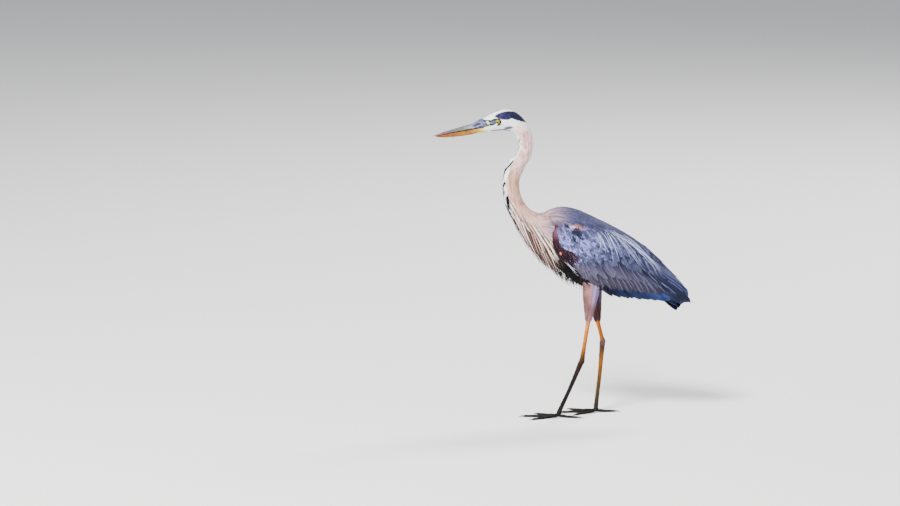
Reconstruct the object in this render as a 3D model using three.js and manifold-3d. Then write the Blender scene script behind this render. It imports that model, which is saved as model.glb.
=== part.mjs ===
// A great blue heron at life size, standing still in mid-stride, as a museum shows one.
// Millimetres, +Z up. The bill points to -X and the bird's left side is towards -Y.
// The origin is on the ground under the middle of the bird. Each named part is one solid.

import * as THREE from "three";
import { mergeVertices } from "three/addons/utils/BufferGeometryUtils.js";
import Module from "manifold-3d";

const wasm = await Module();
wasm.setup();

// ---------------------------------------------------------------- driving dimensions
const GAP = 0.3; // clearance where two parts touch
const BODY_SIDES = 20; // facets round the trunk and the folded wings
const NECK_SIDES = 16; // facets round the neck and head
const BILL_SIDES = 10;
const THIGH_SIDES = 12;
const LEG_SIDES = 8; // facets round a leg bone
const TOE_SIDES = 6;
const TOE_PHASE = Math.PI / TOE_SIDES; // turns a toe's facets so that it lies on a flat one
const EYE_RADIUS = 7.4;
const EYE = { x: -178, y: 15.6, z: 848 }; // centre of the right eye; the left one mirrors it
const FEATHER_SPAN = 220; // how far to each side a feather panel's outline is extruded before it is trimmed

// The body from the bill's root to the wing tips, one entry per section.
// back and belly are where the feathered outline runs in side view, wide is the half width,
// and egg moves the widest place up towards the back (+) or down towards the belly (-).
// coat is how thick the wing and back feathers lie there: [on the back, on the belly, at the side].
const BODY = [
  { name: "bill root", back: [-222, 851], belly: [-219, 814], wide: 13, egg: -0.1, coat: [0, 0, 0] },
  { name: "forehead", back: [-204, 863], belly: [-201, 817], wide: 17, egg: -0.1, coat: [0, 0, 0] },
  { name: "eyes", back: [-180, 874], belly: [-178, 819], wide: 21.5, egg: 0, coat: [0, 0, 0] },
  { name: "crown", back: [-155, 879], belly: [-154, 819], wide: 23.5, egg: 0, coat: [0, 0, 0] },
  { name: "hind crown", back: [-131, 873], belly: [-140, 816], wide: 23, egg: 0, coat: [0, 0, 0] },
  { name: "nape", back: [-106, 852], belly: [-131, 809], wide: 20.5, egg: 0, coat: [0, 0, 0] },
  { name: "neck top", back: [-87, 822], belly: [-126, 796], wide: 18.5, egg: 0, coat: [0, 0, 0] },
  { name: "upper bend", back: [-80, 779], belly: [-121, 774], wide: 17, egg: 0, coat: [0, 0, 0] },
  { name: "below bend", back: [-86, 741], belly: [-127, 754], wide: 17.5, egg: 0, coat: [0, 0, 0] },
  { name: "mid neck", back: [-106, 707], belly: [-152, 730], wide: 18.5, egg: 0, coat: [0, 0, 0] },
  { name: "lower bend", back: [-118, 675], belly: [-164, 695], wide: 19, egg: 0, coat: [0, 0, 0] },
  { name: "under bend", back: [-117, 646], belly: [-166, 649], wide: 20, egg: 0, coat: [0, 0, 0] },
  { name: "low neck", back: [-104, 613], belly: [-157, 603], wide: 22, egg: 0, coat: [0, 0, 0] },
  { name: "neck root", back: [-81, 589], belly: [-140, 564], wide: 28, egg: 0, coat: [0, 0, 0] },
  { name: "collar", back: [-54, 582], belly: [-117, 530], wide: 38, egg: 0, coat: [1, 4, 2] },
  { name: "breast", back: [-27, 595], belly: [-87, 488], wide: 52, egg: 0.05, coat: [5, 14, 8] },
  { name: "shoulders", back: [7, 601], belly: [-47, 442], wide: 66, egg: 0.1, coat: [9, 18, 13] },
  { name: "keel", back: [50, 591], belly: [-1, 402], wide: 76, egg: 0.1, coat: [11, 14, 14] },
  { name: "flank", back: [98, 569], belly: [47, 372], wide: 80, egg: 0.05, coat: [12, 6, 15] },
  { name: "thighs", back: [150, 544], belly: [104, 358], wide: 79, egg: 0, coat: [13, 3, 16] },
  { name: "loin", back: [198, 516], belly: [161, 352], wide: 73, egg: -0.05, coat: [16, 4, 18] },
  { name: "rump", back: [244, 483], belly: [218, 345], wide: 62, egg: -0.1, coat: [24, 14, 24] },
  { name: "tail root", back: [286, 443], belly: [272, 333], wide: 49, egg: -0.15, coat: [30, 24, 24] },
  { name: "wing ends", back: [328, 403], belly: [312, 319], wide: 35, egg: -0.15, coat: [30, 24, 20] },
  { name: "wing tips", back: [376, 356], belly: [366, 310], wide: 14, egg: -0.1, coat: [15, 15, 10] },
];
const section = (name) => BODY.findIndex((s) => s.name === name);

// ---------------------------------------------------------------- materials
const finish = (color, roughness) => new THREE.MeshStandardMaterial({ color, roughness, metalness: 0 });
const WHITE_FEATHER = finish(0xe9e6ee, 0.8);
const NECK_FEATHER = finish(0xcdbcb8, 0.8);
const BLUE_GREY_FEATHER = finish(0x7c86a0, 0.75);
const SLATE_FEATHER = finish(0x3c4557, 0.7);
const BELLY_FEATHER = finish(0x3a3940, 0.8);
const THIGH_FEATHER = finish(0xa98088, 0.8);
const PLUME_FEATHER = finish(0xd6cfd2, 0.75);
const BILL_SLATE = finish(0x5d6672, 0.4);
const BILL_ORANGE = finish(0xe09a2c, 0.4);
const EYE_YELLOW = finish(0xe8cf2a, 0.1);
const LEG_SKIN = finish(0x8c5a2c, 0.55);
const CLAW_HORN = finish(0x2b2622, 0.4);

// ---------------------------------------------------------------- shape tools
const vec = (x, y, z) => new THREE.Vector3(x, y, z);
const smooth = (points) => new THREE.CatmullRomCurve3(points, false, "centripetal");

// A closed tube: a three.js cylinder whose rings are laid on sectionAt(t) for t from 0 to 1.
// A section has a centre, up and side half axes, and may have egg and floor. phase turns the rings.
function loft(sectionAt, steps, sides, phase = 0) {
  const geometry = new THREE.CylinderGeometry(1, 1, 1, sides, steps, false, phase);
  const place = geometry.getAttribute("position");
  for (let i = 0; i < place.count; i++) {
    const s = sectionAt(0.5 - place.getY(i));
    const across = place.getX(i) * (1 + (s.egg ?? 0) * place.getZ(i));
    const point = s.centre.clone().addScaledVector(s.up, place.getZ(i)).addScaledVector(s.side, across);
    if (s.floor !== undefined) point.z = Math.max(point.z, s.floor);
    place.setXYZ(i, point.x, point.y, point.z);
  }
  return geometry;
}

// Sections between a back line and a belly line in the XZ plane, between two stations of a list.
function railed(stations, { from = 0, to, grow = 0, coat = false, start = 0, end = 0 } = {}) {
  const last = stations.length - 1;
  const until = to ?? last;
  const take = (s) => (coat ? s.coat : [0, 0, 0]);
  const back = smooth(
    stations.map((s) => {
      const down = vec(s.belly[0] - s.back[0], 0, s.belly[1] - s.back[1]).normalize();
      return vec(s.back[0], 0, s.back[1]).addScaledVector(down, take(s)[0] - grow);
    }),
  );
  const belly = smooth(
    stations.map((s) => {
      const raise = vec(s.back[0] - s.belly[0], 0, s.back[1] - s.belly[1]).normalize();
      return vec(s.belly[0], 0, s.belly[1]).addScaledVector(raise, take(s)[1] - grow);
    }),
  );
  const size = smooth(stations.map((s, i) => vec(i, s.wide - take(s)[2] + grow, (s.egg ?? 0) * 100)));
  const centreAt = (at) => back.getPoint(at / last).add(belly.getPoint(at / last)).multiplyScalar(0.5);
  const length = centreAt(from).distanceTo(centreAt(until));
  return (t) => {
    const shift = start * (1 - t) - end * t; // millimetres that the ends stand back from a neighbour
    const at = (from + (until - from) * (t + shift / length)) / last;
    const top = back.getPoint(at);
    const bottom = belly.getPoint(at);
    return {
      centre: top.clone().add(bottom).multiplyScalar(0.5),
      up: top.clone().sub(bottom).multiplyScalar(0.5),
      side: vec(0, size.getPoint(at).y, 0),
      egg: size.getPoint(at).z / 100,
    };
  };
}

// Sections round a path. sizes are [fore-and-aft, sideways] half sizes, evenly spaced along it.
function limb(points, sizes, { grow = 0, floor, front = vec(-1, 0, 0) } = {}) {
  const path = smooth(points);
  const size = smooth(sizes.map((s, i) => vec(i, s[0] + grow, s[1] + grow)));
  return (t) => {
    const travel = path.getTangent(t);
    const up = front.clone().addScaledVector(travel, -front.dot(travel)).normalize();
    const side = up.clone().cross(travel);
    const s = size.getPoint(t);
    return { centre: path.getPoint(t), up: up.multiplyScalar(s.y), side: side.multiplyScalar(s.z), floor };
  };
}

// Booleans: a three.js geometry as a solid, and a solid's largest body as a three.js geometry.
function solid(geometry) {
  const bare = (geometry.index ? geometry.toNonIndexed() : geometry.clone()).deleteAttribute("normal");
  bare.deleteAttribute("uv");
  const merged = mergeVertices(bare, 1e-4);
  const vertProperties = merged.getAttribute("position").array;
  const triVerts = new Uint32Array(merged.index.array);
  return new wasm.Manifold(new wasm.Mesh({ numProp: 3, vertProperties, triVerts }));
}

function meshed(body) {
  const largest = body.decompose().sort((a, b) => b.volume() - a.volume())[0];
  const { numProp, vertProperties, triVerts } = largest.getMesh();
  const place = new Float32Array((vertProperties.length / numProp) * 3);
  for (let i = 0; i < place.length; i++) place[i] = vertProperties[Math.floor(i / 3) * numProp + (i % 3)];
  return new THREE.BufferGeometry()
    .setAttribute("position", new THREE.BufferAttribute(place, 3))
    .setIndex(new THREE.BufferAttribute(new Uint32Array(triVerts), 1));
}

const heron = new THREE.Group();

function add(name, geometry, material) {
  const mesh = new THREE.Mesh(geometry, material);
  mesh.name = name;
  heron.add(mesh);
}

// ---------------------------------------------------------------- head and bill
// The upper mandible is a straight dagger with a ridged top; the lower one fits under it.
const UPPER_BILL = [
  { back: [-365, 803.5], belly: [-364.5, 802.5], wide: 0.7 },
  { back: [-344, 811.5], belly: [-344, 806.5], wide: 3.4 },
  { back: [-315, 820.5], belly: [-315, 812.5], wide: 5.4 },
  { back: [-281, 830.5], belly: [-281, 819], wide: 7.4 },
  { back: [-249, 840], belly: [-249, 825], wide: 9.4 },
  { back: [-222.5, 849], belly: [-221.5, 830], wide: 11.6 },
];
const LOWER_BILL = [
  { back: [-356, 803], belly: [-355, 801.5], wide: 0.9 },
  { back: [-344, 806], belly: [-343, 799.5], wide: 3 },
  { back: [-315, 812], belly: [-315, 800], wide: 4.8 },
  { back: [-281, 818.5], belly: [-281, 803.5], wide: 6.6 },
  { back: [-249, 824.5], belly: [-249, 809], wide: 8.6 },
  { back: [-221.4, 829.5], belly: [-219.5, 815], wide: 10.8 },
];

function billGeometry(stations) {
  return loft(railed(stations, { end: GAP }), 7, BILL_SIDES);
}

function eyeGeometry(radius, side) {
  return new THREE.SphereGeometry(radius, 10, 6).translate(EYE.x, side * EYE.y, EYE.z);
}

function headGeometry() {
  const skull = solid(loft(railed(BODY, { from: 0, to: section("nape") }), 11, NECK_SIDES));
  const sockets = [-1, 1].map((side) => solid(eyeGeometry(EYE_RADIUS + GAP, side)));
  return meshed(skull.subtract(sockets[0]).subtract(sockets[1]));
}

add("bill_upper", billGeometry(UPPER_BILL), BILL_SLATE);
add("bill_lower", billGeometry(LOWER_BILL), BILL_ORANGE);
add("head", headGeometry(), WHITE_FEATHER);
add("eye_left", eyeGeometry(EYE_RADIUS, -1), EYE_YELLOW);
add("eye_right", eyeGeometry(EYE_RADIUS, 1), EYE_YELLOW);

// ---------------------------------------------------------------- neck
const NECK_LENGTHS = [
  { name: "neck_upper", from: "nape", to: "below bend", steps: 8 },
  { name: "neck_middle", from: "below bend", to: "under bend", steps: 7 },
  { name: "neck_lower", from: "under bend", to: "neck root", steps: 5 },
];
for (const { name, from, to, steps } of NECK_LENGTHS) {
  const sections = railed(BODY, { from: section(from), to: section(to), start: GAP });
  add(name, loft(sections, steps, NECK_SIDES), NECK_FEATHER);
}

// ---------------------------------------------------------------- trunk and tail
const TRUNK = { from: section("neck root"), to: section("rump"), coat: true };
const trunkAt = (grow, start = GAP) => railed(BODY, { ...TRUNK, grow, start });
const TRUNK_STEPS = 11;
const trunkCutter = solid(loft(trunkAt(GAP, 0), TRUNK_STEPS, BODY_SIDES));

// The closed tail is a stack of flat feathers, seen as one slightly arched blade under the wing tips.
const TAIL = { root: vec(232, 0, 408), tip: vec(338, 0, 315), droop: 1.5 };
const TAIL_SIZES = [
  [22, 24],
  [11, 31],
  [5, 27],
];

function tailAt(grow) {
  const middle = TAIL.root.clone().lerp(TAIL.tip, 0.5).add(vec(0, 0, TAIL.droop));
  return limb([TAIL.root, middle, TAIL.tip], TAIL_SIZES, { grow, front: vec(0, 0, 1) });
}

const tailLoft = (grow) => solid(loft(tailAt(grow), 6, 14));

// ---------------------------------------------------------------- legs
// Each leg is feathered to above the ankle, then bare. Joints are given as [x, y, z].
const LEGS = {
  left: {
    side: -1,
    knee: [88, -38, 392],
    cuff: [79, -40, 279],
    ankle: [61, -42, 163],
    sole: [-6, -46, 10],
    turn: 6,
  },
  right: {
    side: 1,
    knee: [92, 38, 392],
    cuff: [108, 38, 266],
    ankle: [123, 38, 208],
    sole: [104, 38, 10],
    turn: -6,
  },
};
const THIGH_SIZES = [
  [26, 22],
  [23.5, 19],
  [17, 14],
  [9.5, 8.5],
];
const point = (p) => vec(p[0], p[1], p[2]);
const between = (a, b, k) => point(a).lerp(point(b), k);

function thighAt(leg, grow) {
  const line = [0, 0.3, 0.65, 1].map((k) => between(leg.knee, leg.cuff, k));
  return limb(line, THIGH_SIZES, { grow });
}

const thighLoft = (leg, grow) => solid(loft(thighAt(leg, grow), 5, THIGH_SIDES));

// ---------------------------------------------------------------- feather panels
// A panel is the body's feathered outline, raised by lift, kept inside a side-view shape and cleared of
// the trunk. The shoulder feathers lie on the coverts, and these lie on the flight feathers.
const envelope = (lift) =>
  solid(loft(railed(BODY, { from: section("collar"), grow: lift }), 13, BODY_SIDES));

// Points along a line with rounded feather ends that stand out to one side by depth.
function scalloped(points, count, depth) {
  const line = smooth(points.map((p) => vec(p[0], p[1], 0)));
  const steps = 3;
  const out = [];
  for (let i = 0; i < count * steps; i++) {
    const u = i / (count * steps);
    const along = line.getTangentAt(u);
    const lobe = Math.sin(Math.PI * ((i % steps) / steps)) ** 0.8;
    const p = line.getPointAt(u);
    out.push([p.x - along.y * depth * lobe, p.y + along.x * depth * lobe]);
  }
  out.push(points.at(-1));
  return out;
}

// The same with sharp plume ends that trail towards the tail.
function pointed(points, count, depth) {
  const line = smooth(points.map((p) => vec(p[0], p[1], 0)));
  const out = [];
  for (let i = 0; i < count; i++) {
    const p = line.getPointAt(i / count);
    const q = line.getPointAt((i + 0.8) / count);
    const along = line.getTangentAt((i + 0.8) / count);
    const tip = [q.x + (along.x + along.y) * depth, q.y + (along.y - along.x) * depth];
    out.push([p.x, p.y], tip);
  }
  out.push(points.at(-1));
  return out;
}

// A side-view outline in X and Z, extruded along Y between two values.
function slab(outline, y0, y1) {
  const shape = new THREE.Shape(outline.map((p) => new THREE.Vector2(p[0], p[1])));
  const plate = new THREE.ExtrudeGeometry(shape, { depth: y1 - y0, bevelEnabled: false, steps: 1 });
  return solid(plate.rotateX(Math.PI / 2).translate(0, y1, 0));
}

// Where the panels meet, in side view.
const MANTLE_EDGE = [
  [-12, 556],
  [36, 545],
  [92, 524],
  [148, 496],
  [204, 458],
  [254, 418],
  [300, 382],
];
const SHOULDER_EDGE = [
  [10, 448],
  [66, 452],
  [132, 455],
  [190, 440],
  [236, 420],
];
const COVERT_EDGE = [
  [104, 380],
  [160, 375],
  [214, 374],
  [262, 366],
  [300, 366],
  [322, 372],
];
const LEADING_EDGE = [
  [-6, 562],
  [-20, 538],
  [-21, 508],
  [-9, 476],
  [14, 444],
  [46, 414],
  [84, 389],
  [120, 374],
];
const LOWER_EDGE = [
  [120, 374],
  [162, 369],
  [204, 362],
  [250, 350],
  [296, 337],
  [318, 329],
];
const WING_TIP_EDGE = [
  [318, 329],
  [340, 321],
  [346, 327],
  [353, 324],
  [357, 334],
  [364, 338],
  [362, 348],
  [366, 356],
  [358, 366],
  [360, 376],
]; // the ends of the outermost flight feathers
const FAR_UP = 700; // above the bird, where the envelope trims the outline

function curve(points, count) {
  const line = smooth(points.map((p) => vec(p[0], p[1], 0)));
  return line.getSpacedPoints(count).map((p) => [p.x, p.y]);
}

const wingOutline = [
  [-6, FAR_UP],
  ...curve(LEADING_EDGE, 8),
  ...curve(LOWER_EDGE, 6).slice(1),
  ...WING_TIP_EDGE.slice(1),
  [360, FAR_UP],
];
const mantleOutline = [[-40, FAR_UP], [-40, 575], [-22, 562], ...pointed(MANTLE_EDGE, 8, 8), [300, FAR_UP]];
const shoulderOutline = [
  [-60, FAR_UP],
  [-60, 430],
  ...scalloped(SHOULDER_EDGE, 7, -5),
  [300, 380],
  [300, FAR_UP],
];
const covertOutline = [
  [-60, FAR_UP],
  [-60, 340],
  [100, 340],
  ...scalloped(COVERT_EDGE, 8, -6),
  [340, 400],
  [340, FAR_UP],
];

const MIDLINE = -0.4; // the two wings keep clear of each other here
const half = (outline, side) =>
  side < 0 ? slab(outline, -FEATHER_SPAN, MIDLINE) : slab(outline, -MIDLINE, FEATHER_SPAN);
const whole = (outline) => slab(outline, -FEATHER_SPAN, FEATHER_SPAN);
const bodyCutters = [trunkCutter, tailLoft(GAP), ...Object.values(LEGS).map((leg) => thighLoft(leg, GAP))];
const clearOfBody = (body) => bodyCutters.reduce((kept, cutter) => kept.subtract(cutter), body);

// An outline moved a hair towards the tail and down, so that the panel behind it stands clear.
const behind = (outline) => outline.map((p) => [p[0] + GAP, p[1] - GAP]);

function wingPanels(side) {
  const within = (body, outline) => body.intersect(half(outline, side));
  const cut = (body, outline) => body.subtract(half(outline, side));
  const without = (body, outline) => cut(cut(body, outline), behind(outline));
  const wing = (lift) => without(within(envelope(lift), wingOutline), mantleOutline);
  const shoulder = clearOfBody(within(wing(3), shoulderOutline));
  const coverts = clearOfBody(without(within(wing(0), covertOutline), shoulderOutline));
  const flight = clearOfBody(without(without(wing(-3), covertOutline), shoulderOutline));
  return { shoulder, coverts, flight };
}

const PANEL_MATERIALS = { shoulder: BLUE_GREY_FEATHER, coverts: BLUE_GREY_FEATHER, flight: SLATE_FEATHER };
const wings = { left: wingPanels(-1), right: wingPanels(1) };
for (const [side, panels] of Object.entries(wings))
  for (const [panel, body] of Object.entries(panels))
    add(`wing_${side}_${panel}`, meshed(body), PANEL_MATERIALS[panel]);

const mantle = clearOfBody(envelope(1).intersect(whole(mantleOutline)));
add("mantle", meshed(mantle), BLUE_GREY_FEATHER);

// ---------------------------------------------------------------- breast plumes
// Long narrow plumes hang from the foot of the neck over the breast and end in free points.
const BIB = [
  { back: [-120, 604], belly: [-160, 600], wide: 16 },
  { back: [-100, 566], belly: [-145, 558], wide: 24 },
  { back: [-80, 540], belly: [-122, 524], wide: 32 },
  { back: [-55, 505], belly: [-96, 482], wide: 37 },
  { back: [-25, 460], belly: [-62, 438], wide: 36 },
  { back: [6, 416], belly: [-30, 400], wide: 26 },
];
const BIB_EDGE = [
  [-64, 434],
  [-44, 422],
  [-22, 412],
  [-4, 412],
  [2, 440],
];
const bibOutline = [
  [-200, 620],
  [-200, 420],
  [-90, 420],
  ...pointed(BIB_EDGE, 6, 9),
  [0, 560],
  [-100, 620],
];

function bibGeometry() {
  const span = { from: section("under bend"), to: section("neck root"), grow: GAP, start: -2, end: -4 };
  const neck = solid(loft(railed(BODY, span), 8, NECK_SIDES));
  const bib = solid(loft(railed(BIB), 7, 14)).intersect(whole(bibOutline));
  const panels = Object.values(wings).flatMap((wing) => [wing.shoulder, wing.coverts]);
  return meshed([neck, trunkCutter, ...panels].reduce((kept, cutter) => kept.subtract(cutter), bib));
}

add("trunk", loft(trunkAt(0), TRUNK_STEPS, BODY_SIDES), BELLY_FEATHER);
add("tail", meshed(tailLoft(0).subtract(trunkCutter)), SLATE_FEATHER);
add("breast_plumes", bibGeometry(), PLUME_FEATHER);

// ---------------------------------------------------------------- leg parts
const SHANK_SIZES = [
  [6.2, 5.6],
  [5.2, 4.6],
  [5.6, 5],
  [7.6, 6.6],
];
const TARSUS_SIZES = [
  [7.6, 6.6],
  [5.6, 4.8],
  [4.8, 4.2],
  [4.8, 4.2],
  [6, 6.4],
];
const ANKLE_RADIUS = 8.2;
const TOES = [
  { name: "inner", angle: -34, length: 76, thick: 4.2, claw: 15 },
  { name: "middle", angle: 0, length: 98, thick: 4.4, claw: 16 },
  { name: "outer", angle: 36, length: 84, thick: 4.1, claw: 14 },
  { name: "hind", angle: 176, length: 54, thick: 4, claw: 19 },
];
const TOE_SPLIT = 17; // from the foot's centre to where the toes part from the pad
const TOE_JOINTS = 3; // a toe swells at its joints
const CLAW_TIP_RADIUS = 0.35;

// The way a toe points, level with the ground.
function aheadOf(leg, toe) {
  const turn = THREE.MathUtils.degToRad(leg.turn + toe.angle * leg.side);
  return vec(-Math.cos(turn), Math.sin(turn), 0);
}

// A toe between two distances from the foot's centre. It comes down to the ground by its middle and
// then lies on it, and floor flattens its underside there.
function toeAt(leg, toe, from, to) {
  const ahead = aheadOf(leg, toe);
  return (t) => {
    const distance = from + (to - from) * t;
    const along = distance / toe.length;
    const swell = 1 + 0.1 * Math.cos(2 * Math.PI * TOE_JOINTS * along);
    const radius = toe.thick * (1.05 - 0.4 * along) * swell;
    const height = radius * 0.82 + toe.thick * 0.9 * Math.max(0, 1 - 2 * along);
    return {
      centre: vec(leg.sole[0], leg.sole[1], height).addScaledVector(ahead, distance),
      up: vec(0, 0, radius * 0.95),
      side: vec(0, 0, 1).cross(ahead).multiplyScalar(radius),
      floor: 0,
    };
  };
}

// A claw arches from the end of its toe and touches the ground with its point.
function clawAt(leg, toe) {
  const ahead = aheadOf(leg, toe);
  return (t) => {
    const radius = THREE.MathUtils.lerp(toe.thick * 0.55, CLAW_TIP_RADIUS, t ** 1.3);
    const height = radius + 1.2 * Math.sin(Math.PI * t);
    const distance = toe.length + GAP + toe.claw * t;
    return {
      centre: vec(leg.sole[0], leg.sole[1], height).addScaledVector(ahead, distance),
      up: vec(0, 0, radius * 1.25),
      side: vec(0, 0, 1).cross(ahead).multiplyScalar(radius * 0.8),
      floor: 0,
    };
  };
}

// The bone from the ankle to the foot, bowed a little to the back.
function tarsusAt(leg, grow) {
  const bow = between(leg.ankle, leg.sole, 0.5).add(vec(1.5, 0, 0));
  const ends = [point(leg.ankle), point(leg.sole)];
  const line = [ends[0], ends[0].clone().lerp(bow, 0.5), bow, bow.clone().lerp(ends[1], 0.5), ends[1]];
  return limb(line, TARSUS_SIZES, { grow, floor: 0 });
}

const tarsusLoft = (leg, grow) => solid(loft(tarsusAt(leg, grow), 8, LEG_SIDES));

function ankleBall(leg, radius) {
  return solid(new THREE.SphereGeometry(radius, 8, 6).scale(1, 0.85, 1.15).translate(...leg.ankle));
}

function shankBone(leg) {
  const line = [0, 0.35, 0.8, 0.985].map((k) => between(leg.cuff, leg.ankle, k));
  const bone = solid(loft(limb(line, SHANK_SIZES), 5, LEG_SIDES));
  return bone.subtract(ankleBall(leg, ANKLE_RADIUS + GAP)).subtract(thighLoft(leg, GAP));
}

function footPad(leg) {
  const roots = TOES.map((toe) => solid(loft(toeAt(leg, toe, 0, TOE_SPLIT), 2, TOE_SIDES, TOE_PHASE)));
  return roots.reduce((joined, root) => joined.add(root)).subtract(tarsusLoft(leg, GAP));
}

for (const [name, leg] of Object.entries(LEGS)) {
  add(`thigh_${name}`, meshed(thighLoft(leg, 0).subtract(trunkCutter)), THIGH_FEATHER);
  add(`shank_${name}`, meshed(shankBone(leg)), LEG_SKIN);
  add(`tarsus_${name}`, meshed(tarsusLoft(leg, 0).add(ankleBall(leg, ANKLE_RADIUS))), LEG_SKIN);
  add(`foot_${name}`, meshed(footPad(leg)), LEG_SKIN);
  for (const toe of TOES) {
    const end = toeAt(leg, toe, TOE_SPLIT + GAP, toe.length);
    add(`toe_${name}_${toe.name}`, loft(end, 6, TOE_SIDES, TOE_PHASE), LEG_SKIN);
    add(`claw_${name}_${toe.name}`, loft(clawAt(leg, toe), 3, 5), CLAW_HORN);
  }
}

export default heron;
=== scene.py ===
# A great blue heron at life size, standing still in mid-stride, as a museum shows one.
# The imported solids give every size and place. One skin takes the place of the solids of flesh, and
# the coat is laid over it feather by feather, from the bill to the tail.

import math

import bmesh
import bpy
import numpy as np
from mathutils import Matrix, Vector
from mathutils.bvhtree import BVHTree


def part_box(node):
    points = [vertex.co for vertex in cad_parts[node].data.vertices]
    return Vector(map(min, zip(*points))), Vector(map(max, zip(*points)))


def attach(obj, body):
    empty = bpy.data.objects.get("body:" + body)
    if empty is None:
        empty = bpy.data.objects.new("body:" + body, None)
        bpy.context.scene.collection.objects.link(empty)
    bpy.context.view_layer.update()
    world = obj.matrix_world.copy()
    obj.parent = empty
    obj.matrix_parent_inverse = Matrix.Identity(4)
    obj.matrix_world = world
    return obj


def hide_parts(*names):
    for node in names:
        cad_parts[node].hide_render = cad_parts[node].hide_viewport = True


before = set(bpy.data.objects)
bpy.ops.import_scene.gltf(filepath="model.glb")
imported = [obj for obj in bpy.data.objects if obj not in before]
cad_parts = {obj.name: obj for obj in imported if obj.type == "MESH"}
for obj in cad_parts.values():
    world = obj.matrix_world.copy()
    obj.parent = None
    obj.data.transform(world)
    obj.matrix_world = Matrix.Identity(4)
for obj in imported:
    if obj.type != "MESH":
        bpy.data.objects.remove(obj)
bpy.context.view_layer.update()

# ---------------------------------------------------------------- the line of the body
# A line runs through the middle of the head, neck and trunk, with the body's depth and width at each
# place. Feathers point along it, and markings are placed by how far along it and how far round it
# they lie. All lengths in this file are in millimetres until a mesh is made.
MM = 0.001
X, Y, Z = 0, 1, 2
SIDES = {"left": -1, "right": 1}
TOES = ("inner", "middle", "outer", "hind")
WINGS = [f"wing_{side}_{part}" for side in SIDES for part in ("shoulder", "coverts", "flight")]
LINE_CUTS = [
    (["head"], X, (-214, -196, -178, -160, -146)),
    (["neck_upper"], Z, (812, 790, 768)),
    (["neck_middle"], Z, (738, 714, 686, 660)),
    (["neck_lower"], Z, (636, 612)),
    (["neck_lower", "trunk"], X, (-92,)),
    (["trunk", "mantle", "tail", *WINGS], X, (-62, -30, 10, 50, 100, 150, 200, 245, 290, 330, 358)),
]
LINE_STEPS = 240
LINE_EASE = 6  # steps to each side that a point of the line is averaged with


def corners(node):
    """A node's vertices, in millimetres."""
    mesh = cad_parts[node].data
    co = np.empty(len(mesh.vertices) * 3)
    mesh.vertices.foreach_get("co", co)
    return co.reshape(-1, 3) / MM


def cut(nodes, axis, at):
    """Lowest and highest corner of the cut through some nodes at one coordinate."""
    points = []
    for node in nodes:
        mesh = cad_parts[node].data
        ends = np.empty(len(mesh.edges) * 2, int)
        mesh.edges.foreach_get("vertices", ends)
        a, b = corners(node)[ends.reshape(-1, 2).T]
        crossing = (a[:, axis] - at) * (b[:, axis] - at) < 0
        a, b = a[crossing], b[crossing]
        points.append(a + (b - a) * ((at - a[:, axis]) / (b - a)[:, axis])[:, None])
    points = np.vstack(points)
    return points.min(0), points.max(0)


stations = []
for nodes, axis, places in LINE_CUTS:
    for at in places:
        low, high = cut(nodes, axis, at)
        deep = (high - low)[Z if axis == X else X] / 2
        stations.append([*((low + high) / 2)[[X, Z]], deep, (high - low)[Y] / 2])
stations = np.array(stations)
run = np.concatenate([[0], np.cumsum(np.hypot(*np.diff(stations[:, :2], axis=0).T))])
LINE_LENGTH = run[-1]
line = np.column_stack(
    [np.interp(np.linspace(0, LINE_LENGTH, LINE_STEPS), run, column) for column in stations.T]
)
window = np.hanning(2 * LINE_EASE + 1)
window /= window.sum()
padded = np.vstack([line[:1]] * LINE_EASE + [line] + [line[-1:]] * LINE_EASE)
line = np.column_stack([np.convolve(column, window, "valid") for column in padded.T])
heading = np.gradient(line[:, :2], axis=0)
heading /= np.linalg.norm(heading, axis=1)[:, None]
backwards = np.column_stack([-heading[:, 1], heading[:, 0]])  # from the line towards the bird's back


def place(points):
    """How far along the line (mm) and how far round it (0 on the back, 1 on the belly) points lie."""
    nearest = np.concatenate(
        [
            ((part[:, None, [X, Z]] - line[None, :, :2]) ** 2).sum(2).argmin(1)
            for part in np.array_split(points, len(points) // 20000 + 1)
        ]
    )
    off = points[:, [X, Z]] - line[nearest, :2]
    rise = (off * backwards[nearest]).sum(1) / line[nearest, 2]
    turned = np.arctan2(np.abs(points[:, Y]) / line[nearest, 3], rise) / math.pi
    return nearest, nearest * LINE_LENGTH / (LINE_STEPS - 1), turned


# ---------------------------------------------------------------- the outline and the skin
# The outline is the whole feathered bird as one smooth closed form: the feathers end on it. The skin
# is one closed form as well, without the loose flight feathers and tail, and lies inside the outline
# by the depth of the coat. It shows on the lores, legs and feet.
LEG_PARTS = ("thigh", "shank", "tarsus", "foot")
LEGS = [f"{part}_{side}" for side in SIDES for part in LEG_PARTS]
LEGS += [f"toe_{side}_{toe}" for side in SIDES for toe in TOES]
FLESH = ["head", "neck_upper", "neck_middle", "neck_lower", "trunk", *LEGS]
ARM = ["mantle", *[wing for wing in WINGS if not wing.endswith("flight")]]
FLIGHT = [wing for wing in WINGS if wing.endswith("flight")]
BARE = ("shank", "tarsus", "foot", "toe")
GROWTH = 0.3  # how far a form is grown to close the gaps between its solids
STUDIO_LIGHT = 2.1  # how brightly the lamps light a white surface


def ramp(values, low, high):
    """0 below low, 1 above high, and smooth between; low may be the larger."""
    t = np.clip((values - low) / (high - low), 0, 1)
    return t * t * (3 - 2 * t)


def colour(red, green, blue):
    """A colour given as it looks in the studio's light, 0 to 255, as the base colour that gives it."""
    shown = np.array([red, green, blue]) / 255
    linear = np.where(shown > 0.04045, ((shown + 0.055) / 1.055) ** 2.4, shown / 12.92)
    lit = 0.51 * linear**0.76 / (1 - 1.14 * np.minimum(linear, 0.8)) - 0.02
    return np.clip(lit / STUDIO_LIGHT, 0.003, 0.9)


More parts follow.
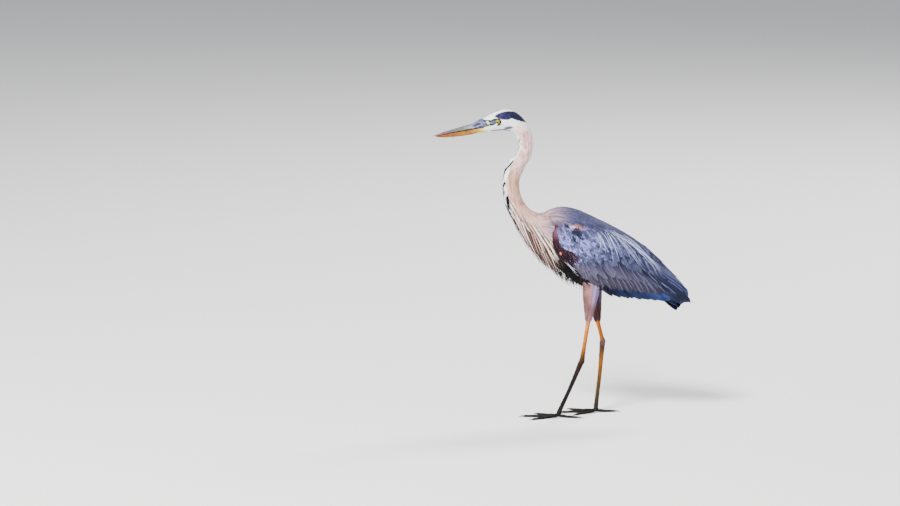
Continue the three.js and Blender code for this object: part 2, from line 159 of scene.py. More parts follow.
def piece_of(name, form):
    mesh = bpy.data.meshes.new(name)
    form.to_mesh(mesh)
    form.free()
    piece = bpy.data.objects.new(name, mesh)
    bpy.context.scene.collection.objects.link(piece)
    return piece


def settle(piece):
    """Makes a piece's modifiers part of its mesh."""
    graph = bpy.context.evaluated_depsgraph_get()
    mesh = bpy.data.meshes.new_from_object(piece.evaluated_get(graph))
    piece.modifiers.clear()
    piece.data = mesh


def points_of(piece, what="co"):
    found = np.empty(len(piece.data.vertices) * 3)
    piece.data.vertices.foreach_get(what, found)
    return found.reshape(-1, 3) / (MM if what == "co" else 1)


def weigh(piece, name, weights):
    group = piece.vertex_groups.new(name=name)
    levels = np.round(np.clip(weights, 0, 1) * 20).astype(int)
    for level in range(1, 21):
        chosen = np.nonzero(levels == level)[0]
        if len(chosen):
            group.add(chosen.tolist(), level / 20, "REPLACE")


def smooth(piece, weights, rounds):
    weigh(piece, "smoothing", weights)
    modifier = piece.modifiers.new("smooth", "SMOOTH")
    modifier.factor, modifier.iterations, modifier.vertex_group = 0.5, rounds, "smoothing"
    settle(piece)
    piece.vertex_groups.clear()


def cast(name, nodes, voxel):
    """Some nodes as one closed form: grown to close the gaps between them, remeshed and smoothed."""
    form = bmesh.new()
    for node in nodes:
        form.from_mesh(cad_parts[node].data)
    bmesh.ops.remove_doubles(form, verts=form.verts, dist=0.01 * MM)
    piece = piece_of(name, form)
    grow = piece.modifiers.new("grow", "DISPLACE")
    grow.strength, grow.mid_level = GROWTH * MM, 0
    remesh = piece.modifiers.new("remesh", "REMESH")
    remesh.mode, remesh.voxel_size = "VOXEL", voxel * MM
    settle(piece)
    points = points_of(piece)
    legs = 1 - ramp(points[:, Z], 350, 375)
    trunk = ramp(points[:, X], -100, -60) * (1 - legs)
    for weights, rounds in ((trunk, 170), ((1 - trunk) * (1 - legs), 36), (legs, 6)):
        smooth(piece, weights, round(rounds / voxel**2))
    return piece


def tree_of(points, faces):
    return BVHTree.FromPolygons(points.tolist(), faces.tolist())


def faces_of(mesh):
    mesh.calc_loop_triangles()
    faces = np.empty(len(mesh.loop_triangles) * 3, int)
    mesh.loop_triangles.foreach_get("vertices", faces)
    return faces.reshape(-1, 3)


class Surface:
    """A closed form to lay feathers on, with a smooth normal at each of its faces."""

    def __init__(self, piece):
        self.points = points_of(piece)
        self.faces = faces_of(piece.data)
        self.tree = tree_of(self.points, self.faces)
        normals = points_of(piece, "normal")[self.faces].mean(1)
        self.normals = normals / np.linalg.norm(normals, axis=1)[:, None]

    def onto(self, points):
        """The form's nearest points to some points, and its normals there."""
        hits = [self.tree.find_nearest(point) for point in points.tolist()]
        return np.array([hit[0][:] for hit in hits]), self.normals[[hit[2] for hit in hits]]

    def beside(self, places, side):
        """Points of the form's left or right flank at some X and Z; past its edge, the nearest ones."""
        found = []
        for x, z in places.tolist():
            hit = self.tree.ray_cast((x, side * 200.0, z), (0, -side, 0))
            if hit[0] is None:
                hit = self.tree.find_nearest((x, side * 30.0, z))
            found.append((x, hit[0][1], z, hit[2]))
        found = np.array(found)
        return found[:, :3], self.normals[found[:, 3].astype(int)]


all_nodes = sorted(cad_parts)
node_points, node_faces, node_of_face = [], [], []
for index, node in enumerate(all_nodes):
    faces = faces_of(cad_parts[node].data)
    node_faces.append(faces + sum(len(points) for points in node_points))
    node_points.append(corners(node))
    node_of_face += [index] * len(faces)
node_tree = tree_of(np.vstack(node_points), np.vstack(node_faces))
node_of_face = np.array(node_of_face)


def owners(points):
    """The name of the node that each point lies nearest to."""
    found = [node_tree.find_nearest(point)[2] for point in points.tolist()]
    return np.array(all_nodes)[node_of_face[found]]


def part_of(names, *starts):
    return np.array([str(name).startswith(starts) for name in names])


outline_piece = cast("outline", [*FLESH, *ARM, *FLIGHT, "tail", "bill_upper", "bill_lower"], 2)
outline = Surface(outline_piece)
bpy.data.objects.remove(outline_piece)
SKIN_TRIANGLES = 120_000
FACE_REAR = -182  # ahead of this X the skin is made finer, for the marks of the bare face
FACE_END, THROAT_END, BREAST_START, BODY_START = 8, 95, 335, 440  # along the line
CROWN_BAND = [(-197, 867), (-184, 859), (-172, 854), (-150, 851), (-138, 855), (-120, 847), (-105, 843),
              (-92, 836)]  # lower edge of the dark band, in X and Z
COAT_DEPTHS = [(0, 0.2), (FACE_END, 0.7), (60, 1.0), (100, 1.4), (330, 1.8), (BODY_START, 4.0)]
DASHES, DASH_START, DASH_GAP, DASH_LONG = 16, 156, 22, 12  # black dashes down the front of the neck
DASH_OUT = 7  # how far from the middle they lie
WHITE = colour(217, 218, 232)
NECK_PINK = colour(219, 207, 206)
NECK_BEIGE = colour(207, 188, 176)
BREAST_BUFF = colour(203, 187, 180)
BUFF = colour(192, 158, 136)
CROWN_BLACK = colour(54, 56, 84)
CROWN_PURPLE = colour(112, 98, 160)
STREAK_BLACK = colour(34, 31, 42)
THROAT_GREY = colour(112, 114, 156)
LORE_SLATE = colour(78, 84, 120)
CHEEK_GREY = colour(126, 126, 140)
SHOULDER_LILAC = colour(180, 163, 174)
SLATE = colour(92, 93, 128)
BELLY_BLACK = colour(32, 29, 38)
THIGH_FRONT = colour(176, 140, 142)
# Painted highlight on the back of the thighs, near their tops.
THIGH_BACK_HIGHLIGHT = colour(190, 178, 200)
STREAK_BROWN = colour(50, 38, 46)
STREAK_PALE = colour(232, 218, 214)
LEG_COLOURS = {
    # The left leg is darker than the right from the foot to the ankle: partly the tarsus's own dark colour
    # and partly painted shade.
    "left": [(0, (54, 50, 50)), (100, (50, 43, 44)), (158, (66, 50, 44)), (180, (120, 82, 40)),
             (205, (190, 134, 10)), (240, (203, 152, 30)), (264, (206, 160, 80)), (285, (188, 158, 148))],
    "right": [(0, (52, 48, 48)), (40, (84, 72, 58)), (105, (140, 100, 50)), (150, (178, 124, 30)),
              (192, (110, 78, 68)), (210, (156, 120, 112)), (224, (200, 146, 10)), (262, (202, 150, 0))],
}  # height above the floor, colour
NECK_STREAKS = [
    (5.0, [(-140, 728), (-150, 715), (-162, 699)]),
    (4.4, [(-161, 694), (-168, 684)]),
    (6.0, [(-159, 668), (-166, 651)]),
    (4.6, [(-160, 642), (-164, 626)]),
    (9.0, [(-151, 626), (-149, 611), (-145, 596)]),
    (7.0, [(-134, 584), (-125, 554)]),
    (3.6, [(-119, 770), (-124, 762)]),
    (3.2, [(-116, 792), (-119, 784)]),
]  # width, line in X and Z
FACE_MARKS = [
    ((138, 144, 188), 8, [(-224, 844), (-217, 842)]),
    ((226, 222, 192), 15, [(-226, 822), (-208, 826)]),
    ((40, 42, 74), 3.2, [(-218, 847), (-214, 847)]),
    ((218, 222, 150), 5, [(-209.5, 845), (-206, 841)]),
    ((28, 30, 54), 2.4, [(-203, 846.5), (-195, 850), (-186, 854)]),
    ((122, 134, 100), 2.8, [(-197, 845), (-188, 848)]),
    # A painted highlight: a thin pale line along the top of the navy patch in front of the eye.
    ((176, 180, 206), 1.2, [(-202, 842.5), (-193, 840.5), (-185, 837.5)]),
    ((42, 42, 82), 3.6, [(-200, 838.2), (-189, 837.4)]),
    ((46, 32, 28), 2.6, [(-226, 829.2), (-214, 832.2), (-206, 834.6), (-187, 835.6)]),
]  # colour, width, line in X and Z


def spot(x, z, at, size, slant=0):
    """1 in the middle of an oval marking on the flank and 0 past its edge."""
    c, s = math.cos(math.radians(slant)), math.sin(math.radians(slant))
    across, up = x - at[0], z - at[1]
    far = np.hypot((across * c + up * s) / size[0], (up * c - across * s) / size[1])
    return ramp(far, 1.3, 0.7)


def stroke(x, z, wide, path, soft=0.4):
    """1 on a line of some width drawn on the flank through some points, 0 beside it."""
    ends = np.array(path, float)
    steps = np.linspace(0, len(ends) - 1, 64)
    line_x, line_z = (np.interp(steps, range(len(ends)), ends[:, k]) for k in (0, 1))
    far = np.hypot(x[:, None] - line_x, z[:, None] - line_z).min(1)
    return ramp(far, wide / 2 + soft, wide / 2 - soft)


def mottle(along, across, seed):
    """A soft random grain from 0 to 1, with one patch to each unit along and across."""
    grid = np.random.default_rng(seed).random((61, 67))
    i, j = np.floor(along).astype(int), np.floor(across).astype(int)
    s, t = along - i, across - j
    s, t = s * s * (3 - 2 * s), t * t * (3 - 2 * t)
    near = grid[i % 61, j % 67] * (1 - t) + grid[i % 61, (j + 1) % 67] * t
    far = grid[(i + 1) % 61, j % 67] * (1 - t) + grid[(i + 1) % 61, (j + 1) % 67] * t
    return near * (1 - s) + far * s


def belly_at(points, turned):
    """1 on the black belly, 0 on the breast and the flanks."""
    x, z = points[:, X], points[:, Z]
    line = np.interp(x, [-30, -6, 12, 31, 64, 96], [425, 464, 466, 448, 408, 380])
    behind = ramp(x, 14, 26) * ramp(turned, 0.5, 0.56)
    return np.maximum(ramp(z, line + 5, line - 5) * ramp(x, -26, -12), behind)


def streak_zone(points, along):
    """1 on the sides of the breast, where fine lines run down and back, and how far down points lie."""
    x, z = points[:, X], points[:, Z]
    below = np.interp(x, [-146, -128, -111, -73, -30], [650, 600, 572, 552, 522]) - z
    return ramp(along, 300, 350) * ramp(below, -14, 20) * ramp(x, 12, -6), ramp(below, 0, 60)


def lores(x, z):
    """1 on the bare skin between the bill and the eye, 0 in the feathers round it."""
    top = np.interp(x, [-222, -200, -187], [851, 850.5, 856])
    bottom = np.interp(x, [-209, -204, -190, -183], [806, 834.5, 836, 841])
    return ramp(z, bottom - 0.5, bottom + 0.5) * ramp(z, top + 0.5, top - 0.5) * ramp(x, -183, -185)


def tint(shade, wanted, mask):
    """Turns the colours of some points towards a colour, by a mask of 0 to 1."""
    shade += (wanted - shade) * np.clip(mask, 0, 1)[:, None]


def mark_neck(shade, x, y, z, along, turned):
    """Pink and beige; white down the front with black dashes in the white; a painted highlight of white
    behind the head.
    """
    neck = ramp(along, 78, 125)
    tint(shade, NECK_PINK, neck)
    tint(shade, NECK_BEIGE, ramp(along, 205, 275) * ramp(turned, 0.8, 0.5))
    tint(shade, BREAST_BUFF, ramp(along, BREAST_START, 390))
    for at, size in (((-100, 799), (9, 17)), ((-104, 775), (7, 10)), ((-112, 748), (9, 12))):
        tint(shade, BUFF, 0.5 * spot(x, z, at, size))
    # Painted highlight: white along the back of the upper neck, where the light falls on it.
    tint(shade, WHITE, neck * ramp(turned, 0.22, 0.08) * ramp(along, 300, 200))
    tint(shade, WHITE, neck * ramp(turned, 0.6, 0.74) * ramp(along, 470, 400))
    # More painted highlight, softer and a little wider, along the back of the upper neck.
    tint(shade, WHITE, 0.8 * neck * ramp(turned, 0.26, 0.14) * ramp(along, 300, 200))
    for number in range(DASHES):
        for side in SIDES.values():
            start = DASH_START + DASH_GAP * number + 4 * side + 4 * math.sin(2.3 * number)
            end, wide = start + DASH_LONG, 2.0 + 0.012 * DASH_GAP * number / 2
            off = np.abs(y - side * DASH_OUT - 0.08 * (along - start))
            dash = ramp(along, start, start + 4) * ramp(along, end + 4, end)
            tint(shade, STREAK_BLACK, dash * ramp(off, wide, wide - 1.2) * (turned > 0.5))


def mark_face(shade, x, y, z, along, turned):
    """White, with a grey throat, a dark band along each side of the crown, and slate lores."""
    on_face = along < THROAT_END
    tint(shade, THROAT_GREY, 0.95 * spot(x, z, (-147, 828), (13, 4.5), 5) * on_face)
    tint(shade, CHEEK_GREY, 0.5 * stroke(x, z, 3, [(-188, 820), (-166, 822), (-150, 826)]) * on_face)
    tint(shade, CHEEK_GREY, 0.7 * stroke(x, z, 2.2, [(-172, 837), (-162, 838.5)]) * on_face)
    low = np.interp(x, *zip(*CROWN_BAND))
    white_crown = np.interp(x, [-196, -186, -156, -138, -130], [24, 14.5, 11.5, 7, 0])
    band = ramp(z, low - 0.8, low + 0.8) * ramp(np.abs(y), white_crown - 0.8, white_crown + 0.8)
    band[x < -140] *= ramp(x, -197, -193)[x < -140]
    band *= ramp(x, -90, -95) * (along < 130)
    tint(shade, CROWN_BLACK, band)
    grain = mottle((x + z) / 4.4, (z + 3 * np.abs(y)) / 1.5, 12) - ramp(x, -156, -128) * 0.4
    tint(shade, CROWN_PURPLE, band * np.maximum(0.8 * ramp(x, -174, -188), 0.6 * ramp(grain, 0.35, 0.8)))
    lore = lores(x, z) * (along < 45)
    tint(shade, LORE_SLATE, lore)
    near = lore > 0
    for face_shade, wide, path in FACE_MARKS:
        mark = np.zeros(len(x))
        mark[near] = stroke(x[near], z[near], wide, path, min(0.45 * wide, 4 if wide > 8 else 1.6))
        tint(shade, colour(*face_shade), lore * mark)
    tint(shade, WHITE, lore * ramp(x, -214, -207.5) * ramp(z, 833, 830))
    # Painted shade: grey along the underside of the chin and throat.
    tint(shade, CHEEK_GREY, 0.8 * on_face * ramp(turned, 0.76, 0.84) * ramp(x, -206, -190))


def mark_body(shade, points, along, turned):
    """Lilac and slate above, fine lines down the sides of the breast, and a black belly."""
    x, y, z = points.T
    neck, body = ramp(along, 78, 125), ramp(along, BODY_START - 10, BODY_START + 25)
    upper = ramp(turned, 0.62, 0.5)
    tint(shade, SHOULDER_LILAC, body * upper * ramp(x, -75, -25))
    tint(shade, SLATE, body * ramp(x, -42, 40) * upper)
    fine = mottle(along / 13, 28 * turned + 31 * (y > 0), 5)
    coarse = mottle(along / 30, 62 * turned + 31 * (y > 0), 6)
    shade *= 1 - (0.42 * ramp(fine, 0.5, 0.85) * neck * (1 - body))[:, None]
    shade *= 1 + (1.3 * (coarse - 0.46) * body * upper)[:, None]
    zone, down = streak_zone(points, along)
    over, run = 0.855 * x + 0.52 * z, 0.52 * x - 0.855 * z
    lines = 0.5 + 0.5 * np.cos(math.tau * (over / 8.6 + 0.9 * mottle(run / 70, over / 26, 7)))
    lines = 0.6 * lines + 0.4 * mottle(run / 60, over / 3.4, 17)
    more = 0.08 * down + 0.1 * ramp(x, -84, -116)
    tint(shade, STREAK_BROWN, (0.7 + 0.28 * down) * zone * ramp(lines, 0.5 + more, 0.4 + more))
    tint(shade, STREAK_PALE, 0.75 * zone * ramp(lines, 0.64, 0.76))
    low = np.interp(x, [-120, -77, -20], [498, 478, 452])
    tint(shade, BELLY_BLACK * 1.5, 0.85 * zone * ramp(z - low, 10, -12))
    front = neck * ramp(turned, 0.38, 0.46) * ramp(np.abs(y), 3, 6)
    for wide, path in NECK_STREAKS:
        tint(shade, STREAK_BLACK, front * stroke(x, z, wide, path, 0.8))
    tint(shade, BELLY_BLACK, belly_at(points, turned))


def mark_legs(shade, x, y, z, names):
    """Mauve thighs with a painted highlight behind and painted shade inside, and bare legs and feet coloured
    by their height above the floor.
    """
    for side in SIDES:
        thigh = names == f"thigh_{side}"
        behind = x - np.interp(z, *LEG_LINES[side])
        tint(shade, THIGH_FRONT, thigh)
        # Painted highlight: the back of each thigh near its top is turned lilac-white.
        tint(shade, THIGH_BACK_HIGHLIGHT, thigh * ramp(behind, -2, 12) * ramp(z, 300, 340))
        lines = mottle(z / 24, (behind + 0.6 * y) / 4.2, 8)
        # Painted shade: the inner side of each thigh, facing the other leg, is darkened.
        inner = ramp(np.abs(y), 39, 33)
        shade *= np.where(thigh, (0.45 + 1.0 * lines) * (1 - 0.7 * inner), 1)[:, None]
        bare = part_of(names, *(f"{part}_{side}" for part in (*BARE, "claw")))
        levels, shades = zip(*LEG_COLOURS[side])
        shades = np.array([colour(*leg_shade) for leg_shade in shades])
        shade[bare] = np.column_stack([np.interp(z[bare], levels, channel) for channel in shades.T])


def markings(points, names):
    """The colour of the coat, and of the skin below it, at some points."""
    along, turned = place(points)[1:]
    shade = np.tile(WHITE, (len(points), 1))
    mark_neck(shade, *points.T, along, turned)
    mark_face(shade, *points.T, along, turned)
    mark_body(shade, points, along, turned)
    mark_legs(shade, *points.T, names)
    return shade


LEG_LINES = {}  # height and X of the middle of each thigh, at its cuff and near its top
for side in SIDES:
    thigh = corners(f"thigh_{side}")
    levels = thigh[:, Z].min(), thigh[:, Z].max() - 12
    cuff, top = (thigh[np.abs(thigh[:, Z] - level) < 12].mean(0) for level in levels)
    LEG_LINES[side] = ([cuff[Z], top[Z]], [cuff[X], top[X]])

skin = cast("skin", [*FLESH, *ARM], 1.5)
skin_points = points_of(skin)
legs = part_of(owners(skin_points), *BARE)
thin = skin.modifiers.new("thin", "DECIMATE")
weigh(skin, "body", np.where(legs | (skin_points[:, X] < -120), 0.15, 1))
thin.vertex_group, thin.vertex_group_factor = "body", 8
thin.ratio = SKIN_TRIANGLES / len(faces_of(skin.data))
settle(skin)
skin.vertex_groups.clear()
skin_points, skin_names = points_of(skin), owners(points_of(skin))
along = place(skin_points)[1]
depth = np.interp(along, *zip(*COAT_DEPTHS))
for side in SIDES:
    thigh = skin_names == f"thigh_{side}"
    cuff = LEG_LINES[side][0][0]
    depth[thigh] = np.interp(skin_points[thigh, Z], [cuff - 3, cuff + 15, cuff + 70], [0, 2, 3.5])
depth[part_of(skin_names, *BARE, "claw")] = 0
drawn = skin_points - points_of(skin, "normal") * depth[:, None]
drawn[:, Z] = np.maximum(drawn[:, Z], 0)
skin.data.vertices.foreach_set("co", (drawn * MM).ravel())
face_form = bmesh.new()
face_form.from_mesh(skin.data)
bare_face = [
    edge for edge in face_form.edges
    if max(v.co.x for v in edge.verts) < FACE_REAR * MM and min(v.co.z for v in edge.verts) > 500 * MM
]
bmesh.ops.subdivide_edges(face_form, edges=bare_face, cuts=2, use_grid_fill=True, smooth=0.0)
bmesh.ops.triangulate(face_form, faces=face_form.faces)
face_form.to_mesh(skin.data)
face_form.free()
skin_points, skin_names = points_of(skin), owners(points_of(skin))


def attribute(piece, name, kind, values):
    field = {"FLOAT_COLOR": "color", "FLOAT_VECTOR": "vector", "FLOAT": "value"}[kind]
    if kind == "FLOAT_COLOR":
        values = np.column_stack([values, np.ones(len(values))])
    data = piece.data.attributes.new(name, kind, "POINT").data
    data.foreach_set(field, values.astype(np.float32).ravel())


def finish_piece(piece, slot, material, *nodes):
    """What every piece gets: its material and its body, and the solids that it stands for are hidden; its
    slot is not used.
    """
    piece.data.materials.clear()
    piece.data.materials.append(material)
    piece.data.shade_smooth()
    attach(piece, "root")
    if nodes:
        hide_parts(*nodes)


def new_material(name, roughness, specular=0.5):
    """A material with a Principled BSDF; returns it, its node tree and that shader."""
    material = bpy.data.materials.new(name)
    material.use_nodes = True
    shader = material.node_tree.nodes["Principled BSDF"]
    shader.inputs["Roughness"].default_value = roughness
    shader.inputs["Specular IOR Level"].default_value = specular
    return material, material.node_tree, shader


def read(tree, name):
    node = tree.nodes.new("ShaderNodeAttribute")
    node.attribute_name = name
    return node.outputs


def bump(tree, shader, height, strength, distance):
    node = tree.nodes.new("ShaderNodeBump")
    node.inputs["Strength"].default_value = strength
    node.inputs["Distance"].default_value = distance * MM
    tree.links.new(height, node.inputs["Height"])
    tree.links.new(node.outputs["Normal"], shader.inputs["Normal"])


def feed(tree, socket, value):
    """Gives a node's input a value, or a link where the value is another node's output."""
    if isinstance(value, bpy.types.NodeSocket):
        tree.links.new(value, socket)
    else:
        socket.default_value = value


def mix(tree, amount, a, b, blend="MIX"):
    """A Mix node between two colours; each input is a socket or a plain value."""
    node = tree.nodes.new("ShaderNodeMix")
    node.data_type, node.blend_type = "RGBA", blend
    feed(tree, node.inputs[0], amount)
    for index, value in ((6, a), (7, b)):
        feed(tree, node.inputs[index], value if isinstance(value, bpy.types.NodeSocket) else (*value, 1))
    return node.outputs[2]


def times(tree, a, b):
    """One colour multiplied by another."""
    return mix(tree, 1.0, a, b, "MULTIPLY")


def texture(tree, kind, scale, vector=None, **inputs):
    node = tree.nodes.new(f"ShaderNodeTex{kind}")
    if vector is None:
        vector = tree.nodes.new("ShaderNodeTexCoord").outputs["Object"]
    tree.links.new(vector, node.inputs["Vector"])
    node.inputs["Scale"].default_value = scale
    for name, value in inputs.items():
        node.inputs[name.replace("_", " ").title()].default_value = value
    return node.outputs


def curve(tree, value, *stops):
    """A colour ramp through (place, grey or colour) stops."""
    node = tree.nodes.new("ShaderNodeValToRGB")
    tree.links.new(value, node.inputs["Fac"])
    steps = node.color_ramp.elements
    while len(steps) < len(stops):
        steps.new(0.5)
    for stop, (at, shade) in zip(steps, stops):
        stop.position = at
        stop.color = (*shade, 1) if hasattr(shade, "__len__") else (shade, shade, shade, 1)
    return node.outputs["Color"]


# The bare hide of face, legs and feet is covered in fine round grains, with darker seams between them.
hide, tree, shader = new_material("hide", 0.6, 0.25)
plates = texture(tree, "Voronoi", 900, randomness=0.8)
seams = curve(tree, plates["Distance"], (0.35, 1.0), (0.75, 0.0))
worn = texture(tree, "Noise", 60, detail=4)
tone = curve(tree, worn["Fac"], (0.3, 0.72), (0.7, 1.18))
base = times(tree, read(tree, "coat")["Color"], tone)
dark = times(tree, base, curve(tree, plates["Distance"], (0.5, 1.0), (0.9, 0.8)))
tree.links.new(dark, shader.inputs["Base Color"])
bump(tree, shader, seams, 0.3, 0.12)
attribute(skin, "coat", "FLOAT_COLOR", markings(skin_points, skin_names))
finish_piece(skin, "leg_skin", hide, *FLESH, *ARM)

# ---------------------------------------------------------------- the bill
# Two long horn blades, one on the other: the upper with a ridge along its top and a groove on each
# side that holds the nostril, the lower thinner. Each is rings of one section, bridged end to end, and
# flares at its root to meet the face.
BILL_STATIONS = 60
BILL_SIDES = 40
ROOT_IN = 0.05  # how far the horn runs back inside the head, as a share of the bill
FLARE = (-250, -221)  # where along X the horn swells to the size of the face
BLADE_ROOT = -222.5  # behind this X a blade keeps its size but for the flare
face_low, face_high = cut(["head"], X, -219)


def bill_sizes(node, x):
    """Lowest and highest Z of a blade at one place, and half its width, flared at the root."""
    swell = float(ramp(x, *FLARE))
    at = min(x, BLADE_ROOT)
    low, high = cut([node], X, at)
    half = (high - low)[Y] / 2
    low, high = low[Z], high[Z]
    upper_low = cut(["bill_upper"], X, at)[0][Z]
    if node == "bill_upper":
        high += (face_high[Z] - 0.3 - high) * swell
    else:
        low += (face_low[Z] + 0.5 - low) * swell
        high = upper_low - 0.35
    half += ((face_high - face_low)[Y] / 2 - 0.2 - half) * swell
    return low, high, half


def join_ring(form, ring, before):
    """Bridges a ring of points to the edges of the ring before it, and closes the first with a face."""
    edges = list({edge for vertex in ring for edge in vertex.link_edges})
    if before:
        bmesh.ops.bridge_loops(form, edges=before + edges)
    else:
        bmesh.ops.contextual_create(form, geom=edges)
    return edges


def close_rings(form, last):
    bmesh.ops.contextual_create(form, geom=last)
    bmesh.ops.recalc_face_normals(form, faces=form.faces)


def bill_blade(name, node, section):
    """Rings of a section along the bill, bridged into one closed blade."""
    box_low, box_high = (corner[X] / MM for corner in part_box(node))
    form = bmesh.new()
    before, horn = None, []
    for t in [-ROOT_IN, -ROOT_IN / 2, *(np.linspace(0.004, 0.996, BILL_STATIONS) ** 0.9)]:
        x = box_high + (box_low - box_high) * t
        inside = max(0.0, -t / ROOT_IN)
        low, high, half = bill_sizes(node, x)
        ring = bmesh.ops.create_circle(form, segments=BILL_SIDES, radius=1)["verts"]
        for vertex in ring:
            turn = math.atan2(vertex.co.y, vertex.co.x)
            y, z = section(turn, x, low, high, half)
            y, z = y * (1 - 0.12 * inside), z + ((low + high) / 2 - z) * 0.12 * inside
            vertex.co = Vector((x, y, z)) * MM
            horn.append((t, (z - low) / (high - low), 0))
        before = join_ring(form, ring, before)
    close_rings(form, before)
    blade = piece_of(name, form)
    attribute(blade, "horn", "FLOAT_VECTOR", np.array(horn))
    return blade


def upper_section(turn, x, low, high, half):
    """A keeled roof over a flat palate, with the nostril groove along its side."""
    rise = math.sin(turn)
    y = half * math.copysign(abs(math.cos(turn)) ** 0.8, math.cos(turn))
    if rise < 0:
        return y, low - 0.12 * rise * (high - low)
    up = rise**1.05
    swell = float(ramp(x, *FLARE))
    y *= 1 - (0.3 - 0.1 * swell) * up
    groove_end = float(ramp(x, -305, -270) * ramp(x, -208, -222))
    groove = math.exp(-(((up - 0.52) / 0.11) ** 2)) * groove_end
    nostril = math.exp(-(((up - 0.5) / 0.1) ** 2)) * float(ramp(abs(x + 238), 10, 6))
    return y - math.copysign(0.7 * groove + 1.5 * nostril, y), low + (high - low) * up


def lower_section(turn, x, low, high, half):
    """A trough turned over: a rounded keel below a flat top edge."""
    rise = math.sin(turn)
    y = half * math.copysign(abs(math.cos(turn)) ** 0.75, math.cos(turn))
    if rise > 0:
        return y, high - 0.1 * rise * (high - low)
    return y * (1 + 0.25 * rise), high + (high - low) * rise


bill_upper = bill_blade("bill_upper_horn", "bill_upper", upper_section)
bill_lower = bill_blade("bill_lower_horn", "bill_lower", lower_section)


def places_on_horn(tree):
    """How far along the bill from its root, and how far up its side, each from 0 to 1."""
    parts = tree.nodes.new("ShaderNodeSeparateXYZ")
    tree.links.new(read(tree, "horn")["Vector"], parts.inputs[0])
    return parts.outputs["X"], parts.outputs["Y"]


def streaked(tree, stretch, scale):
    """Noise drawn out along the bill, as horn grows."""
    mapping = tree.nodes.new("ShaderNodeMapping")
    mapping.inputs["Scale"].default_value = stretch
    mapping.inputs["Rotation"].default_value = (0, math.radians(-14), 0)
    tree.links.new(tree.nodes.new("ShaderNodeTexCoord").outputs["Object"], mapping.inputs["Vector"])
    return texture(tree, "Noise", scale, mapping.outputs[0], detail=5)["Fac"]


slate_horn, tree, shader = new_material("slate_horn", 0.5, 0.25)
out_along, up_side = places_on_horn(tree)
ground = curve(
    tree, out_along,
    (0.0, colour(140, 142, 188)), (0.2, colour(172, 174, 200)), (0.33, colour(148, 158, 140)),
    (0.5, colour(122, 138, 116)), (0.62, colour(104, 98, 126)), (0.78, colour(140, 108, 112)),
    (1.0, colour(188, 166, 156)),
)
grain = streaked(tree, (0.16, 1, 1), 560)
streak = curve(tree, grain, (0.38, 0.0), (0.5, 0.55), (0.58, 1.0))
near_root = curve(tree, out_along, (0.02, 0.95), (0.3, 0.9), (0.55, 0.75), (0.75, 0.5))
dark_streaks = mix(tree, streak, colour(66, 70, 110), (1, 1, 1))
shade = mix(tree, near_root, ground, times(tree, ground, dark_streaks))
ridge = curve(tree, up_side, (0.78, 0.0), (0.95, 0.6))
shade = mix(tree, ridge, shade, colour(84, 88, 98))
edge = curve(tree, up_side, (0.03, 1.0), (0.14, 0.0))
shade = mix(tree, edge, shade, colour(84, 56, 48))
rosy = times(tree, curve(tree, up_side, (0.2, 1.0), (0.6, 0.0)),
             curve(tree, out_along, (0.5, 0.0), (0.72, 0.8), (0.95, 0.5)))
shade = mix(tree, rosy, shade, colour(134, 70, 60))
slot_up = curve(tree, up_side, (0.32, 0.0), (0.4, 1.0), (0.58, 1.0), (0.68, 0.0))
slot_long = curve(tree, out_along, (0.04, 0.0), (0.07, 1.0), (0.18, 1.0), (0.22, 0.0))
shade = mix(tree, times(tree, slot_up, slot_long), shade, colour(16, 17, 34))
tree.links.new(shade, shader.inputs["Base Color"])
bump(tree, shader, grain, 0.25, 0.25)
finish_piece(bill_upper, "bill_slate", slate_horn, "bill_upper")

orange_horn, tree, shader = new_material("orange_horn", 0.5, 0.25)
out_along, up_side = places_on_horn(tree)
ground = curve(
    tree, out_along,
    (0.0, colour(212, 206, 164)), (0.1, colour(204, 186, 84)), (0.24, colour(192, 152, 0)),
    (0.4, colour(188, 142, 0)), (0.7, colour(186, 136, 0)), (0.88, colour(170, 104, 0)),
    (1.0, colour(130, 80, 50)),
)
grain = streaked(tree, (0.14, 1, 1), 480)
warmth = curve(tree, grain, (0.44, 0.0), (0.62, 0.8))
past_root = curve(tree, out_along, (0.05, 0.1), (0.3, 1.0))
warm = mix(tree, times(tree, warmth, past_root), ground, colour(132, 70, 0))
keel = curve(tree, up_side, (0.04, 0.55), (0.3, 0.0))
warm = mix(tree, keel, warm, colour(122, 92, 34))
edge = curve(tree, up_side, (0.78, 0.0), (0.92, 0.95))
warm = mix(tree, edge, warm, colour(58, 36, 28))
tree.links.new(warm, shader.inputs["Base Color"])
bump(tree, shader, grain, 0.2, 0.25)
finish_piece(bill_lower, "bill_orange", orange_horn, "bill_lower")

# ---------------------------------------------------------------- the eyes
# Each eye is a glass ball with a yellow iris and a black pupil, looking out and a little forward. A
# ring of bare black skin lies round it, wider behind and below, where it comes to a corner.
EYE_SHIFT = [-1.0, 0, -1.8]  # from the middle of the eye's solid
eyes = {side: corners(f"eye_{side}").mean(0) + EYE_SHIFT for side in SIDES}
EYE_RADIUS, IRIS, PUPIL = 7.4, 6.7, 3.4
LID_IN, LID_OUT = 6.0, 9.3
LID_CORNERS = ((4, 3.4), (-98, 3.2), (-45, 2.2), (168, 1.8), (60, 1.0))  # turn from the back, reach


def lid_reach(turn):
    """How far the black ring runs out from the middle of the eye, by the turn from straight back."""
    reach = LID_OUT
    for at, more in LID_CORNERS:
        off = (np.degrees(turn) - at + 180) % 360 - 180
        reach = reach + more * np.exp(-((off / 26) ** 2))
    return reach


def past_lid(points):
    """How far points lie outside the nearer eye's black ring."""
    nearer = np.where(points[:, Y] < 0, "left", "right")
    middles = np.array([eyes[side] for side in nearer])
    off = points - middles
    return np.linalg.norm(off, axis=1) - lid_reach(np.arctan2(off[:, Z], off[:, X]))


